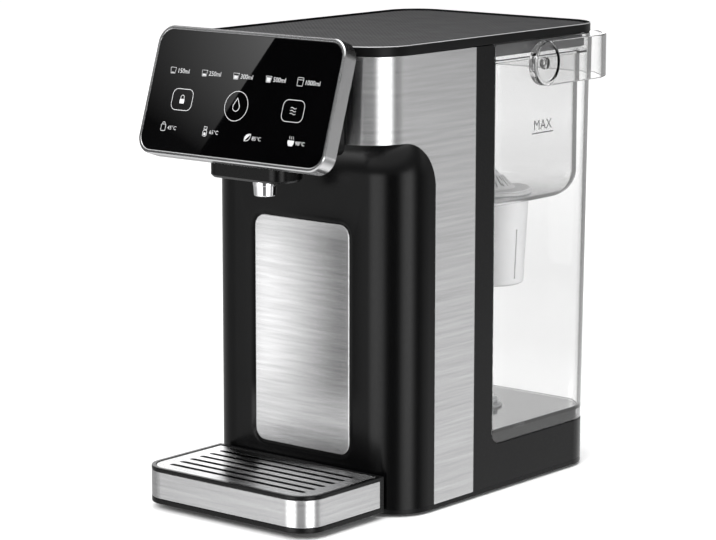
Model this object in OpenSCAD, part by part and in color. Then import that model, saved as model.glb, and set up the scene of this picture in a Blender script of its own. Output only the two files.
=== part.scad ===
// Hot water dispenser: a filtered water tank behind a heater column, a tilted touch head and a drip tray.
// Millimetres. X is across, Y runs from the tray to the tank, Z is up from the floor.

/* [Body] */
// Width of the body, the lid and the tank
body_w = 166.5; // [155:0.5:180]
// Distance from the origin to the front of the lid and of the steel band
band_front = 101.9; // [96:0.1:108]
// Distance from the origin to the back of the lid
lid_rear = 139.2; // [132:0.1:146]
// Distance from the origin to the front face of the column
column_front = 78.2; // [74:0.1:82]
// Distance from the origin to the front edge of the lower steel side panels
side_front = 44.5; // [42:0.1:50]
// Distance from the origin to the front edge of the black side strips
strip_front = 3.4; // [2:0.1:8]
// Distance from the origin to the back face of the bulkhead
bulkhead_rear = 16.3; // [15:0.1:20]
// Corner radius of the band and of the lid at the front, in plan
front_r = 30.5; // [24:0.5:34]
// Corner radius of the lid, the tank and the base at the back, in plan
rear_r = 25.5; // [20:0.5:30]
// Corner radius of the column in plan
column_r = 28; // [24:0.5:33]

/* [Heights] */
// Height of the rubber feet under the base
foot_h = 2; // [1.5:0.1:4]
// Height of the lid top above the floor
lid_top = 302; // [296:0.5:312]
// Thickness of the lid at its edge
lid_t = 6.2; // [5.5:0.1:8]
// Height of the steel band with the lid on it
band_h = 61; // [56:0.5:66]
// Height of the ledge of the base that the tank skirt stands on
ledge_z = 32.3; // [30:0.1:36]
// Height of the platform above that ledge
platform_h = 6.6; // [6:0.1:9]
// Radius of the cut-out of the steel between the band and the side panel
cutout_r = 32; // [24:0.5:36]

/* [Walls] */
// Thickness of the base pan
pan_t = 3; // [2.5:0.1:4]
// Thickness of the black mouldings
wall = 3; // [2.5:0.1:3.5]
// Thickness of the steel sheet
steel_t = 1; // [0.8:0.1:1.4]
// Thickness of the inner frame behind the steel
frame_t = 2; // [1.6:0.1:2.6]
// Thickness of the front wall of the column
column_t = 4; // [3.5:0.1:5]
// Running gap between pieces that are lifted or slid apart
gap = 0.4; // [0.3:0.05:0.5]

/* [Tank] */
// Wall of the tank
tank_t = 2.5; // [2:0.1:3]
// How far the back of the tank leans in towards the floor
tank_draft = 4.6; // [3:0.1:6]
// Thickness of the tank floor
tank_floor = 1.8; // [1.6:0.1:2.6]
// Wall of the reservoir that hangs in the tank
reservoir_t = 2; // [1.6:0.1:2.6]
// Gap between the reservoir and the tank wall
reservoir_gap = 3; // [2.5:0.1:4]
// Height of the reservoir
reservoir_h = 99.3; // [92:0.1:104]
// Distance from the origin to the back of the reservoir
reservoir_rear = 126; // [124:0.5:128]
// Radius of the lower edges of the reservoir
reservoir_r = 18; // [12:0.5:19]
// Distance from the side of the body to the axis of the filter and of the tank valve
water_in = 52.25; // [51.5:0.25:57]
// Corner radius of the tank window at its lower front
window_r = 8; // [5:0.5:9]
// Distance from the origin to the axis of the filter and of the tank valve
water_y = 79; // [74:0.5:80]

/* [Filter] */
// Radius of the filter cartridge
filter_r = 26.6; // [25.5:0.1:28]
// Radius of the filter cartridge at its lower end
filter_tip_r = 23.5; // [23:0.1:25.5]
// Length of the filter cartridge below its rim
filter_len = 60.9; // [54:0.1:68]
// Height of the louvred cap of the filter
cap_h = 14.5; // [13:0.5:18]

/* [Handle] */
// Distance from the lid top down to the handle axis
hub_drop = 22.4; // [21:0.1:25]
// Distance from the origin to the handle axis
hub_y = 66.7; // [62:0.1:70]
// Radius of the handle hub
hub_r = 14.5; // [12.5:0.1:15.5]
// Width of the raised ring round the handle hub
hub_ring = 2.4; // [2:0.1:3]
// Depth of the hollow inside the ring of the hub
hub_set = 1.8; // [1.2:0.1:2.2]
// Thickness of the handle band
band_t = 3; // [2.5:0.1:4]
// Gap between the handle band and the side of the tank
handle_gap = 3; // [2.5:0.1:4]
// Distance from the origin to the back of the handle
handle_rear = 155.2; // [153:0.1:160]
// Corner radius of the handle in plan
handle_r = 34; // [28:0.5:38]
// Radius of the handle pivot pins
pivot_r = 4; // [3:0.1:5]

/* [Head] */
// Width of the control head over its bezel
head_w = 154.5; // [145:0.5:165]
// Height of the control head along its tilted face
head_h = 83.1; // [78:0.1:88]
// Depth of the bezel
head_d = 11.4; // [10:0.1:13]
// Corner radius of the bezel
head_r = 11.5; // [9:0.1:14]
// Width of the bezel at the two sides
bezel_side = 2; // [1.6:0.1:2.6]
// Width of the bezel at the top and at the bottom
bezel_top = 2.5; // [2:0.1:3.2]
// Angle that the head leans back from upright
head_tilt = 18; // [14:0.5:22]
// Distance from the origin to the middle of the head face
head_y = 136; // [134:0.1:140]
// Distance from the lid top down to the middle of the head face
head_drop = 32.5; // [28:0.1:36]
// Width of the neck behind the head
neck_w = 114; // [106:0.5:120]
// How far the neck reaches below the steel band
neck_sink = 7; // [5:0.5:11]
// Distance from the lid top down to the top of the neck
neck_drop = 10; // [8:0.5:16]

/* [Spout] */
// Width of the spout housing
spout_w = 62; // [56:0.5:70]
// Distance from the origin to the front of the spout housing
spout_front = 134; // [130:0.1:136]
// Height of the spout housing
spout_h = 17.5; // [15:0.5:22]
// Corner radius of the spout housing at the front, in plan
spout_r = 9; // [7:0.5:12]
// Corner radius of the spout housing at the back, in plan
spout_rear_r = 13.5; // [9:0.5:14]
// Distance from the origin to the axis of the nozzle
nozzle_y = 112; // [110:0.1:114]
// Radius of the nozzle at its top
nozzle_r = 7.8; // [7:0.1:8.5]
// Length of the nozzle below the spout housing
nozzle_len = 11.5; // [8:0.1:14]
// Radius of the water way through the nozzle
nozzle_bore = 3; // [2.5:0.1:3.5]

/* [Tray] */
// Width of the drip tray
tray_w = 140; // [132:0.5:150]
// Distance from the origin to the front of the drip tray
tray_front = 155.2; // [150:0.1:160]
// Distance between the column and the back of the drip tray
tray_gap = 0.8; // [0.6:0.1:1]
// Height of the underside of the drip tray above the floor
tray_low = 4.5; // [4:0.1:6]
// Height of the lower black edge of the drip tray
tray_edge = 3.7; // [3:0.1:4.4]
// Height of the steel skirt of the drip tray
skirt_h = 17.4; // [15:0.1:20]
// Height of the black rim of the drip tray
rim_h = 2.6; // [2.4:0.1:3]
// Corner radius of the drip tray at the front
tray_r = 17; // [13:0.5:20]
// Width of the rim of the drip tray
rim_w = 3; // [2.6:0.1:3.4]
// Number of slots in the grate
slot_n = 6; // [4:1:6]
// Distance between two slots
slot_pitch = 9.4; // [9:0.1:10]
// Width of a slot
slot_w = 3.8; // [2:0.1:4.4]
// Length of a slot
slot_len = 114; // [100:1:116]

/* [Backsplash] */
// Width of the backsplash plate
splash_w = 79.4; // [70:0.2:86]
// Height of the top of the backsplash plate above the floor
splash_top = 185.6; // [178:0.2:192]
// Height of the bottom of the backsplash plate above the floor
splash_low = 36; // [34:0.5:44]
// Corner radius of the backsplash plate
splash_r = 8; // [5:0.5:12]
// Depth of the recess that the backsplash plate lies in
splash_d = 1.8; // [1.5:0.1:2]

/* [Water works] */
// Radius of the heater tube
heater_r = 18; // [15:0.5:19]
// Length of the heater tube
heater_len = 110; // [90:1:116]
// Distance from the middle plane to the axis of the heater
heater_x = 40; // [38:0.5:44]
// Distance from the origin to the axis of the heater
heater_y = 26; // [25:0.5:30]
// Height of the lower end of the heater tube above the floor
heater_low = 70; // [64:0.5:76]
// Outer radius of the water hoses
hose_r = 4; // [3.6:0.1:4.5]
// Bore of the water hoses
hose_bore = 2.6; // [2.2:0.1:3]
// Radius of the pump body
pump_r = 15; // [13:0.5:16]
// Distance from the middle plane to the axis of the pump
pump_x = 40; // [38:0.5:44]
// Distance from the origin to the axis of the pump
pump_y = 60; // [56:0.5:64]
// Clearance of a shaft or a pin in its bore
fit = 0.05; // [0.02:0.01:0.08]

/* [Hidden] */
$fn = 64;
eps = 0.01;
fuse = 1;
hw = body_w / 2;
seat_gap = 0.2;
rest_gap = 0.3;
base_rear = lid_rear - tank_draft - seat_gap;
pan_top = foot_h + pan_t;
lid_low = lid_top - lid_t;
band_low = lid_top - band_h;
hub_z = lid_top - hub_drop;
head_z = lid_top - head_drop;
neck_low = band_low - neck_sink;
neck_top = lid_top - neck_drop;
spout_low = neck_low - spout_h;
water_x = hw - water_in;
body_top = lid_low - gap;
frame_hw = hw - steel_t;
platform_top = ledge_z + platform_h;
tank_hw = hw - rest_gap;
tank_front = bulkhead_rear + gap;
tank_low = ledge_z + gap;
tank_top = lid_low - gap;
platform_inset = hw - tank_hw + tank_t + gap;
tank_floor_low = platform_top + gap;
tank_floor_top = tank_floor_low + tank_floor;
lean = atan(tank_draft / (tank_top - tank_low));
lean_y = water_y;
inner_hw = tank_hw - tank_t;
reservoir_hw = inner_hw - reservoir_gap;
reservoir_front = tank_front + tank_t + reservoir_gap;
flange_t = 1.4;
skirt_deep = 9.2;
skirt_low = lid_low - skirt_deep;
skirt_clear = 2.5;
flange_top = skirt_low - skirt_clear;
flange_low = flange_top - flange_t;
tab_top = flange_low - rest_gap;
tab_h = 2;
tab_reach = 2.2;
tab_len = 40;
skirt_gap = 3.2;
skirt_t = 2;
reservoir_low = flange_top - reservoir_h;
reservoir_floor = reservoir_low + reservoir_t;
seal_t = 0.8;
seal_low = reservoir_floor + rest_gap;
filter_rim = seal_low + seal_t;
filter_low = filter_rim - filter_len;
filter_rim_t = 2;
filter_rim_w = 1.7;
filter_rim_r = filter_r + filter_rim_w;
filter_slot_n = 8;
filter_slot_w = 1.2;
filter_slot_up = 4.5;
filter_slot_h = 34;
filter_slot_turn = -6;
filter_top = filter_rim + filter_rim_t;
cap_plate = 1.2;
cap_step = 8.8;
cap_base_r = filter_r - cap_step;
cap_r = 4.5;
louvre_n = 24;
louvre_w = 1.1;
louvre_up = 3;
louvre_down = 4.5;

handle_hw = hw + handle_gap + band_t;
handle_low = hub_z - hub_r;
handle_high = hub_z + hub_r;
pin_step = 1;
pin_step_r = pivot_r - pin_step;

glass_w = head_w - 2 * bezel_side;
glass_h = head_h - 2 * bezel_top;
glass_r = head_r - bezel_side;
glass_t = 3;
glass_set = 0.3;
back_t = 2.4;
board_t = 1.6;
board_set = 6;
board_edge = 8;
pad_r = 3;
row_high = 13;
row_mid = -5.8;
row_low = -24.4;
pads = [[-46, row_high], [-20, row_high], [7, row_high], [34, row_high], [60, row_high],
        [-47, row_mid], [0, row_mid], [45, row_mid],
        [-52, row_low], [-16, row_low], [19, row_low], [54, row_low]];
neck_rear = band_front + seat_gap;
neck_r = 5;
neck_t = 2.5;
port_in = 20;
port_w = neck_w - 2 * port_in;
port_edge = 8;
port_low = max(band_low, neck_low) + port_edge;
port_high = neck_top - port_edge;

stem_r = 5;
stem_h = 8;
nozzle_low = spout_low - nozzle_len;
spout_lip = 0.8;
spout_rear = nozzle_y - nozzle_r - spout_lip;
nozzle_taper = 0.7;
nozzle_tip_r = nozzle_r - nozzle_taper;

tray_hw = tray_w / 2;
tray_rear = column_front + tray_gap;
skirt_short = 4;
skirt_rear = tray_rear + skirt_short;
skirt_bottom = tray_low + tray_edge;
skirt_top = skirt_bottom + skirt_h;
rim_top = skirt_top + rim_h;
grate_t = 1.2;
grate_set = 2;
grate_seat = rim_top - grate_set;
seat_w = 2;
pan_wall = rim_w + seat_w;
tray_floor_t = 0.8;
tray_floor = skirt_bottom + tray_floor_t;
tongue_w = 16;
tongue_x = 30;
tongue_t = 4;
tongue_z = tray_floor + fuse;
tongue_in = 7;
tray_foot_r = 5;
tray_foot_in = 18;
tray_foot_front = 22;
tray_foot_rear = 14;

heater_top = heater_low + heater_len;
heater_cap_t = 8;
heater_cap_w = 2;
heater_wall = 2;
spigot_r = hose_bore - fit;
spigot_len = 8;
clamp_t = 4;
clamp_w = 30;
clamp_in = 22;
clamp_z = [heater_low + clamp_in, heater_top - clamp_in - clamp_t];
cutout_disc_r = 7;
cutout_disc_t = 6;
cutout_pitch = 18;
sensor_in = 13;
pump_mount_t = 3;
pump_mount_w = 6;
pump_motor_h = 6;
pump_cup_h = 7;
pump_wall = 2;
pump_floor = pan_top + pump_mount_t;
pump_cup_low = pump_floor + pump_motor_h;
pump_cup_r = pump_r - pump_wall;
pump_top = pump_cup_low + pump_cup_h;
pump_cover_t = 3;
impeller_gap = 1.5;
impeller_r = pump_cup_r - impeller_gap;
impeller_t = 4;
impeller_hub = 2;
blade_n = 6;
blade_t = 1.2;
shaft_r = 1.5;
valve_r = 7;
dock_r = 12;
dock_h = 14;
dock_low = platform_top - dock_h;
dock_skin = 1.5;
dock_port_n = 4;
seal_w = 2.6;
seal_h = 4;
dock_cup_r = valve_r + seal_w;
dock_cup_h = 9;
dock_floor = platform_top - dock_cup_h;
valve_up = 3;
valve_low = dock_floor + valve_up;
valve_head = 5.5;
valve_top = tank_floor_top + valve_head;
valve_flange_t = 1.5;
valve_flange_w = 3;
valve_port_w = 4;
valve_port_h = 1.8;
valve_wall = 1.8;
seat_t = 2;
seat_hole_r = 2.9;
disc_gap = 0.8;
disc_r = valve_r - valve_wall - disc_gap;
disc_t = 2;
disc_low = valve_low + seat_t + rest_gap;
stem_pin_r = 2;
spider_t = 2;
dock_pin_r = 2;
spring_wire = 1.1;
spring_gap = 0.5;

foot_r = 8;
foot_stem_r = 2.5;
foot_in = 15.25;
foot_front_in = 27.6;
foot_rear_in = 22;
foot_x = hw - foot_in;
foot_front_y = column_front - foot_front_in;
foot_rear_y = base_rear - foot_rear_in;
screw_r = 1.6;
screw_head_r = 3.2;
screw_head_t = 2;
boss_r = 4.5;
boss_h = 9;
screw_in = 38;
screw_x = hw - screw_in;
screw_front_y = column_front - column_t - boss_r + fuse;
screw_rear_y = base_rear - wall - boss_r + fuse;
gland_r = 7;
gland_in = 60;
gland_x = hw - gland_in;
gland_up = 13;
gland_z = pan_top + gland_up;
gland_flange = 3;
gland_flange_t = 2;
board_w = 62;
board_h = 100;
board_low = 100;
board_x = 8;
post_r = 3;
post_len = 9;
post_in = 5;
board_y = bulkhead_rear - wall - post_len;
relay = [18, 14, 22];
relay_at = [8, 12];
capacitor = [20, 11, 16];
capacitor_at = [34, 14];
transformer = [26, 16, 24];
transformer_at = [14, 50];
canister_r = 5;
canister_len = 18;
canister_at = [48, 62];

arc_n = 12;
cove_n = 10;
cove_reach = band_front - column_front;
cove_low = band_low - cove_reach;
cove_steps = [for (i = [0 : cove_n]) let (a = 90 * i / cove_n)
  [cove_reach * (1 - cos(a)), sin(a), i / cove_n]];
levels = concat([[0, (pan_top - cove_low) / cove_reach, 0]], cove_steps);

pump_pipe_z = pump_top + pump_cover_t + 2 * hose_r - fuse;
low_pipe_z = dock_low - spigot_len - hose_r;
feed_z = pump_cup_low + impeller_t / 2;
outlet_z = (port_low + port_high) / 2;
loom_r = 2.4;
loom_in = 20;
loom_x = board_x + loom_in;
loom_up = 10;
loom_z = outlet_z + loom_up;

lid_plate = 3;
rim_inset = 2.2;
rim_d = 0.8;

// Rectangle in plan from y0 to y1 with its own corner radius at the front and at the back
module outline(half, y0, y1, rf, rr) {
  translate([-half, y0 + rf]) square([2 * half, y1 - y0 - rf - rr]);
  translate([-half + rf, y0]) square([2 * (half - rf), rf + eps]);
  translate([-half + rr, y1 - rr - eps]) square([2 * (half - rr), rr + eps]);
  for (s = [-1, 1]) {
    translate([s * (half - rf), y0 + rf]) circle(rf);
    translate([s * (half - rr), y1 - rr]) circle(rr);
  }
}

// Outline that is square at the back
module front_outline(half, y0, y1, r) {
  translate([-half, y0 + r]) square([2 * half, y1 - y0 - r]);
  translate([-half + r, y0]) square([2 * (half - r), r + eps]);
  for (s = [-1, 1]) translate([s * (half - r), y0 + r]) circle(r);
}

// Outline that is square at the front
module rear_outline(half, y0, y1, r) {
  translate([-half, y0]) square([2 * half, y1 - y0 - r]);
  translate([-half + r, y1 - r - eps]) square([2 * (half - r), r + eps]);
  for (s = [-1, 1]) translate([s * (half - r), y1 - r]) circle(r);
}

// Flat rectangle with round corners, centred
module round_rect(w, h, r) {
  square([w - 2 * r, h], center = true);
  square([w, h - 2 * r], center = true);
  for (sx = [-1, 1]) for (sy = [-1, 1]) translate([sx * (w / 2 - r), sy * (h / 2 - r)]) circle(r);
}

// A layer from z0 to z1
module layer(z0, z1) {
  translate([0, 0, z0]) linear_extrude(z1 - z0) children();
}

// An outline drawn in Y and Z, extruded across the whole width
module across(half) {
  rotate([90, 0, 90]) translate([0, 0, -half]) linear_extrude(2 * half) children();
}

// A round bar along X
module bar_x(r, x0, x1) {
  translate([x0, 0, 0]) rotate([0, 90, 0]) cylinder(r = r, h = x1 - x0);
}

// A round bar along Y
module bar_y(r, y0, y1) {
  translate([0, y0, 0]) rotate([-90, 0, 0]) cylinder(r = r, h = y1 - y0);
}

// A round bar along the straight runs between points, with ball corners
module run(points, r) {
  for (i = [0 : len(points) - 2]) {
    d = points[i + 1] - points[i];
    translate(points[i]) rotate([0, acos(d.z / norm(d)), atan2(d.y, d.x)]) cylinder(r = r, h = norm(d));
  }
  if (len(points) > 2) for (i = [1 : len(points) - 2]) translate(points[i]) sphere(r);
}

module hose(points) {
  difference() {
    run(points, hose_r);
    run(points, hose_bore);
  }
}

// The tilted frame of the head: X across, Y up the face, Z out of the face
module on_head() {
  translate([0, -head_y, head_z]) rotate([90 - head_tilt, 0, 0]) children();
}

// The space of the tank at a given inset, with the leaning back
module tank_form(inset, z0, z1) {
  half = tank_hw - inset;
  intersection() {
    translate([-half, tank_front + inset, z0]) cube([2 * half, lid_rear, z1 - z0]);
    union() {
      translate([-half, tank_front + inset, z0]) cube([2 * half, lean_y - tank_front, z1 - z0]);
      translate([0, lid_rear - inset, tank_top]) rotate([-lean, 0, 0])
        translate([0, -lid_rear, -lid_top]) linear_extrude(2 * lid_top)
          rear_outline(half, lean_y / 2, lid_rear, rear_r - inset);
    }
  }
}

module base_pan() {
  color("#1c1c1e") difference() {
    layer(foot_h, pan_top) outline(hw, -column_front, base_rear, column_r, rear_r);
    for (s = [-1, 1]) {
      for (y = [-foot_front_y, foot_rear_y]) translate([s * foot_x, y, 0])
        cylinder(r = foot_stem_r + fit, h = 2 * pan_top);
      for (y = [-screw_front_y, screw_rear_y]) translate([s * screw_x, y, 0]) {
        cylinder(r = screw_r + fit, h = 2 * pan_top);
        cylinder(r = screw_head_r + gap, h = foot_h + screw_head_t);
      }
    }
  }
}

module base_feet() {
  color("#2a2a2c") for (s = [-1, 1]) for (y = [-foot_front_y, foot_rear_y]) translate([s * foot_x, y, 0]) {
    cylinder(r = foot_r, h = foot_h);
    cylinder(r = foot_stem_r, h = pan_top);
  }
}

module base_screws() {
  color("silver") for (s = [-1, 1]) for (y = [-screw_front_y, screw_rear_y])
    translate([s * screw_x, y, foot_h]) {
      cylinder(r = screw_head_r, h = screw_head_t);
      cylinder(r = screw_r, h = pan_t + boss_h - fuse);
    }
}

module screw_boss(s, y) {
  translate([s * screw_x, y, pan_top]) cylinder(r = boss_r, h = boss_h);
}

module screw_hole(s, y) {
  translate([s * screw_x, y, pan_top - eps]) cylinder(r = screw_r + fit, h = boss_h);
}

// What fills the square lower front corner of the tank window on both sides, outside a round corner
module window_corner(r, width) {
  for (s = [-1, 1]) translate([s * (hw - width / 2), bulkhead_rear + window_r, ledge_z + window_r])
    rotate([90, 0, 90]) translate([0, 0, -width / 2]) linear_extrude(width) difference() {
      translate([-window_r, -window_r]) square(window_r);
      circle(r);
    }
}

// Black moulding: side strips, bulkhead behind the column, and the hollow base under the tank
module rear_frame() {
  inner = hw - platform_inset;
  color("#1b1b1d") difference() {
    union() {
      for (s = [-1, 1]) translate([s * (hw - wall / 2) - wall / 2, -strip_front, pan_top])
        cube([wall, strip_front + bulkhead_rear, body_top - pan_top]);
      translate([-hw, bulkhead_rear - wall, ledge_z - wall]) cube([body_w, wall, body_top - ledge_z + wall]);
      difference() {
        layer(pan_top, ledge_z) rear_outline(hw, -strip_front, base_rear, rear_r);
        layer(pan_top - eps, ledge_z - wall)
          rear_outline(hw - wall, -column_front, base_rear - wall, rear_r - wall);
        layer(ledge_z - wall - eps, ledge_z + eps)
          rear_outline(inner - wall, -column_front, base_rear - platform_inset - wall,
                       rear_r - platform_inset - wall);
      }
      difference() {
        layer(ledge_z - wall, platform_top)
          rear_outline(inner, bulkhead_rear - wall, base_rear - platform_inset, rear_r - platform_inset);
        layer(ledge_z - wall - eps, platform_top - wall)
          rear_outline(inner - wall, bulkhead_rear - 2 * wall, base_rear - platform_inset - wall,
                       rear_r - platform_inset - wall);
      }
      for (s = [-1, 1]) screw_boss(s, screw_rear_y);
      window_corner(window_r, wall);
    }
    translate([water_x, water_y, pan_top]) cylinder(r = dock_r, h = lid_top);
    translate([-gland_x, 0, gland_z]) bar_y(gland_r, base_rear - 2 * wall, base_rear + wall);
    for (s = [-1, 1]) screw_hole(s, screw_rear_y);
  }
}

// The steel that fills the corner of the side cut-out, in Y and Z
module cutout_corner() {
  difference() {
    translate([-side_front - cutout_r, band_low - cutout_r]) square([cutout_r + eps, cutout_r + eps]);
    translate([-side_front - cutout_r, band_low - cutout_r]) circle(cutout_r);
  }
}

// The cut through the side of the steel: below the band and in front of the side panel
module side_cut() {
  across(body_w) difference() {
    translate([-2 * band_front, 0]) square([2 * band_front - side_front, band_low]);
    cutout_corner();
  }
}

// Sheet steel bent round the upper front and both sides
module steel_wrap() {
  color("#c9cacc") difference() {
    layer(pan_top, body_top) difference() {
      front_outline(hw, -band_front, -strip_front, front_r);
      front_outline(hw - steel_t, -band_front + steel_t, strip_front, front_r - steel_t);
    }
    side_cut();
    translate([-port_w / 2, -2 * band_front, port_low]) cube([port_w, 2 * band_front, port_high - port_low]);
  }
}

// Plastic carrier behind the steel
module inner_frame() {
  color("#303033") difference() {
    layer(pan_top, body_top) difference() {
      front_outline(frame_hw, -band_front + steel_t, -strip_front, front_r - steel_t);
      front_outline(frame_hw - frame_t, -band_front + steel_t + frame_t, strip_front,
                    front_r - steel_t - frame_t);
    }
    side_cut();
    translate([-port_w / 2, -2 * band_front, port_low]) cube([port_w, 2 * band_front, port_high - port_low]);
    translate([-hw, -band_front, body_top - wall]) cube([body_w, band_front, 2 * wall]);
  }
}

module top_deck() {
  color("#232325") layer(body_top - wall, body_top) difference() {
    front_outline(frame_hw, -band_front + steel_t, bulkhead_rear - wall, front_r - steel_t);
    for (s = [-1, 1]) translate([s * (hw - wall / 2) - wall / 2, -strip_front])
      square([wall, 2 * bulkhead_rear]);
  }
}

// One ring of the column surface: left edge, left corner, right corner, right edge
function column_ring(half, y_front, r, z) = concat(
  [[-half, -side_front, z]],
  [for (i = [0 : arc_n]) let (a = 180 + 90 * i / arc_n)
    [-half + r + r * cos(a), y_front + r + r * sin(a), z]],
  [for (i = [0 : arc_n]) let (a = 270 + 90 * i / arc_n)
    [half - r + r * cos(a), y_front + r + r * sin(a), z]],
  [[half, -side_front, z]]);

// The front runs straight up from the base pan and then, in a quarter circle, forward to the band
function level_ring(s, inset) = column_ring(hw - inset, -column_front - s[0] + inset,
  column_r + (front_r - column_r) * s[2] - inset, cove_low + cove_reach * s[1]);

// The column as a closed shell between an outer and an inner surface
module column_shell() {
  m = 2 * arc_n + 4;
  n = len(levels) - 1;
  points = concat([for (s = levels) each level_ring(s, 0)], [for (s = levels) each level_ring(s, column_t)]);
  shift = m * (n + 1);
  skins = [for (i = [0 : n - 1]) for (j = [0 : m - 2]) let (a = i * m + j, b = a + 1, c = b + m, d = a + m)
           each [[a, d, c], [a, c, b], [shift + a, shift + b, shift + c], [shift + a, shift + c, shift + d]]];
  ends = [for (j = [0 : m - 2]) let (a = j, b = j + 1, c = n * m + j, d = c + 1)
          each [[a, b, shift + b], [a, shift + b, shift + a], [c, shift + c, shift + d], [c, shift + d, d]]];
  sides = [for (i = [0 : n - 1]) let (a = i * m, b = a + m, c = a + m - 1, d = b + m - 1)
           each [[a, shift + a, shift + b], [a, shift + b, b], [c, d, shift + d], [c, shift + d, shift + c]]];
  polyhedron(points, concat(skins, ends, sides));
}

// Black column with the cove that carries the overhanging band
module front_column() {
  color("#1d1d1f") difference() {
    union() {
      column_shell();
      for (s = [-1, 1]) screw_boss(s, -screw_front_y);
    }
    translate([0, -column_front + splash_d, 0]) rotate([90, 0, 0]) linear_extrude(2 * splash_d)
      translate([0, (splash_top + splash_low) / 2])
        round_rect(splash_w + 2 * gap, splash_top - splash_low + 2 * gap, splash_r + gap);
    for (s = [-1, 1]) translate([s * tongue_x - tongue_w / 2 - gap, -column_front - eps, tongue_z - gap])
      cube([tongue_w + 2 * gap, tongue_in + gap, tongue_t + 2 * gap]);
    for (s = [-1, 1]) screw_hole(s, -screw_front_y);
    across(body_w) cutout_corner();
  }
}

module backsplash() {
  color("#c4c5c7") translate([0, -column_front + splash_d, 0]) rotate([90, 0, 0]) linear_extrude(steel_t)
    translate([0, (splash_top + splash_low) / 2]) round_rect(splash_w, splash_top - splash_low, splash_r);
}

// Hollow arm between the band and the back of the head
module head_neck() {
  color("#18181a") difference() {
    translate([0, -neck_rear, 0]) rotate([90, 0, 0]) linear_extrude(head_y)
      translate([0, (neck_low + neck_top) / 2]) round_rect(neck_w, neck_top - neck_low, neck_r);
    on_head() translate([-head_w, -2 * head_h, -head_d]) cube([2 * head_w, 4 * head_h, head_y]);
    translate([0, -neck_rear + eps, 0]) rotate([90, 0, 0]) linear_extrude(head_y)
      translate([0, (neck_low + neck_top) / 2])
        round_rect(neck_w - 2 * neck_t, neck_top - neck_low - 2 * neck_t, neck_r - neck_t);
    translate([0, -nozzle_y, neck_low - neck_t]) cylinder(r = hose_r + gap, h = 3 * neck_t);
  }
}

module head_back() {
  color("#202022") on_head() translate([0, 0, -head_d]) {
    linear_extrude(back_t) round_rect(glass_w - 2 * fit, glass_h - 2 * fit, glass_r - fit);
    for (sx = [-1, 1]) for (sy = [-1, 1])
      translate([sx * (glass_w / 2 - 2 * board_edge), sy * (glass_h / 2 - 2 * board_edge), 0])
        cylinder(r = post_r, h = head_d - board_set - board_t);
  }
}

module head_bezel() {
  color("#c6c7c9") on_head() translate([0, 0, -head_d]) linear_extrude(head_d) difference() {
    round_rect(head_w, head_h, head_r);
    round_rect(glass_w, glass_h, glass_r);
  }
}

module touch_glass() {
  color("#08080a") on_head() translate([0, 0, -glass_set - glass_t]) linear_extrude(glass_t)
    round_rect(glass_w - 2 * fit, glass_h - 2 * fit, glass_r - fit);
}

module control_board() {
  color("#1f6b3a") on_head() translate([0, 0, -board_set - board_t]) linear_extrude(board_t)
    square([glass_w - 2 * board_edge, glass_h - 2 * board_edge], center = true);
}

module touch_pads() {
  color("#b08d3c") on_head() for (p = pads) translate([p.x, p.y, -board_set])
    cylinder(r = pad_r, h = board_set - glass_t - glass_set);
}

module spout_housing() {
  color("#1a1a1c") difference() {
    layer(spout_low, neck_low) outline(spout_w / 2, -spout_front, -spout_rear, spout_r, spout_rear_r);
    layer(spout_low + wall, neck_low + wall)
      outline(spout_w / 2 - wall, -spout_front + wall, -spout_rear - wall, spout_r - wall, spout_rear_r - wall);
    translate([0, -nozzle_y, 0]) cylinder(r = stem_r + fit, h = neck_low);
    on_head() translate([-head_w, -2 * head_h, -head_d]) cube([2 * head_w, 4 * head_h, head_y]);
  }
}

module nozzle() {
  color("#e4e5e7") translate([0, -nozzle_y, 0]) difference() {
    union() {
      translate([0, 0, nozzle_low]) cylinder(r1 = nozzle_tip_r, r2 = nozzle_r, h = nozzle_len);
      translate([0, 0, spout_low - eps]) cylinder(r = stem_r, h = stem_h);
    }
    cylinder(r = nozzle_bore, h = lid_top);
  }
}

module at_heater() {
  translate([-heater_x, -heater_y, 0]) children();
}

module heater_tube() {
  color("#b9bbbd") at_heater() layer(heater_low, heater_top) difference() {
    circle(heater_r);
    circle(heater_r - heater_wall);
  }
}

module heater_caps() {
  color("#3a3a3c") at_heater() difference() {
    union() {
      for (z = [heater_low - heater_cap_t, heater_top])
        layer(z, z + heater_cap_t) circle(heater_r + heater_cap_w);
      layer(heater_low - heater_cap_t - spigot_len, heater_low) circle(spigot_r);
      layer(heater_top, heater_top + heater_cap_t + spigot_len) circle(spigot_r);
    }
    layer(0, lid_top) circle(hose_bore / 2);
  }
}

module heater_bracket() {
  color("#8e9092") for (z = clamp_z) layer(z, z + clamp_t) difference() {
    union() {
      translate([-heater_x - clamp_w / 2, -heater_y]) square([clamp_w, heater_y + bulkhead_rear - wall]);
      translate([-heater_x, -heater_y]) circle(heater_r + wall);
    }
    translate([-heater_x, -heater_y]) circle(heater_r + fit);
  }
}

module thermal_cutouts() {
  color("#d8d4c8") for (s = [-1, 1])
    translate([-heater_x, 0, heater_low + heater_len / 2 + s * cutout_pitch / 2])
      bar_y(cutout_disc_r, -heater_y - heater_r - cutout_disc_t, -heater_y - heater_r);
}

module temperature_sensor() {
  color("#d9a441") at_heater() translate([sensor_in, 0, heater_top + heater_cap_t])
    cylinder(r = post_r, h = spigot_len);
}

module at_pump() {
  translate([-pump_x, pump_y, 0]) children();
}

module pump_mount() {
  color("#2d2d2f") at_pump() layer(pan_top, pump_floor) difference() {
    circle(pump_r + pump_mount_w / 2);
    circle(pump_r - pump_mount_w / 2);
  }
}

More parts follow.
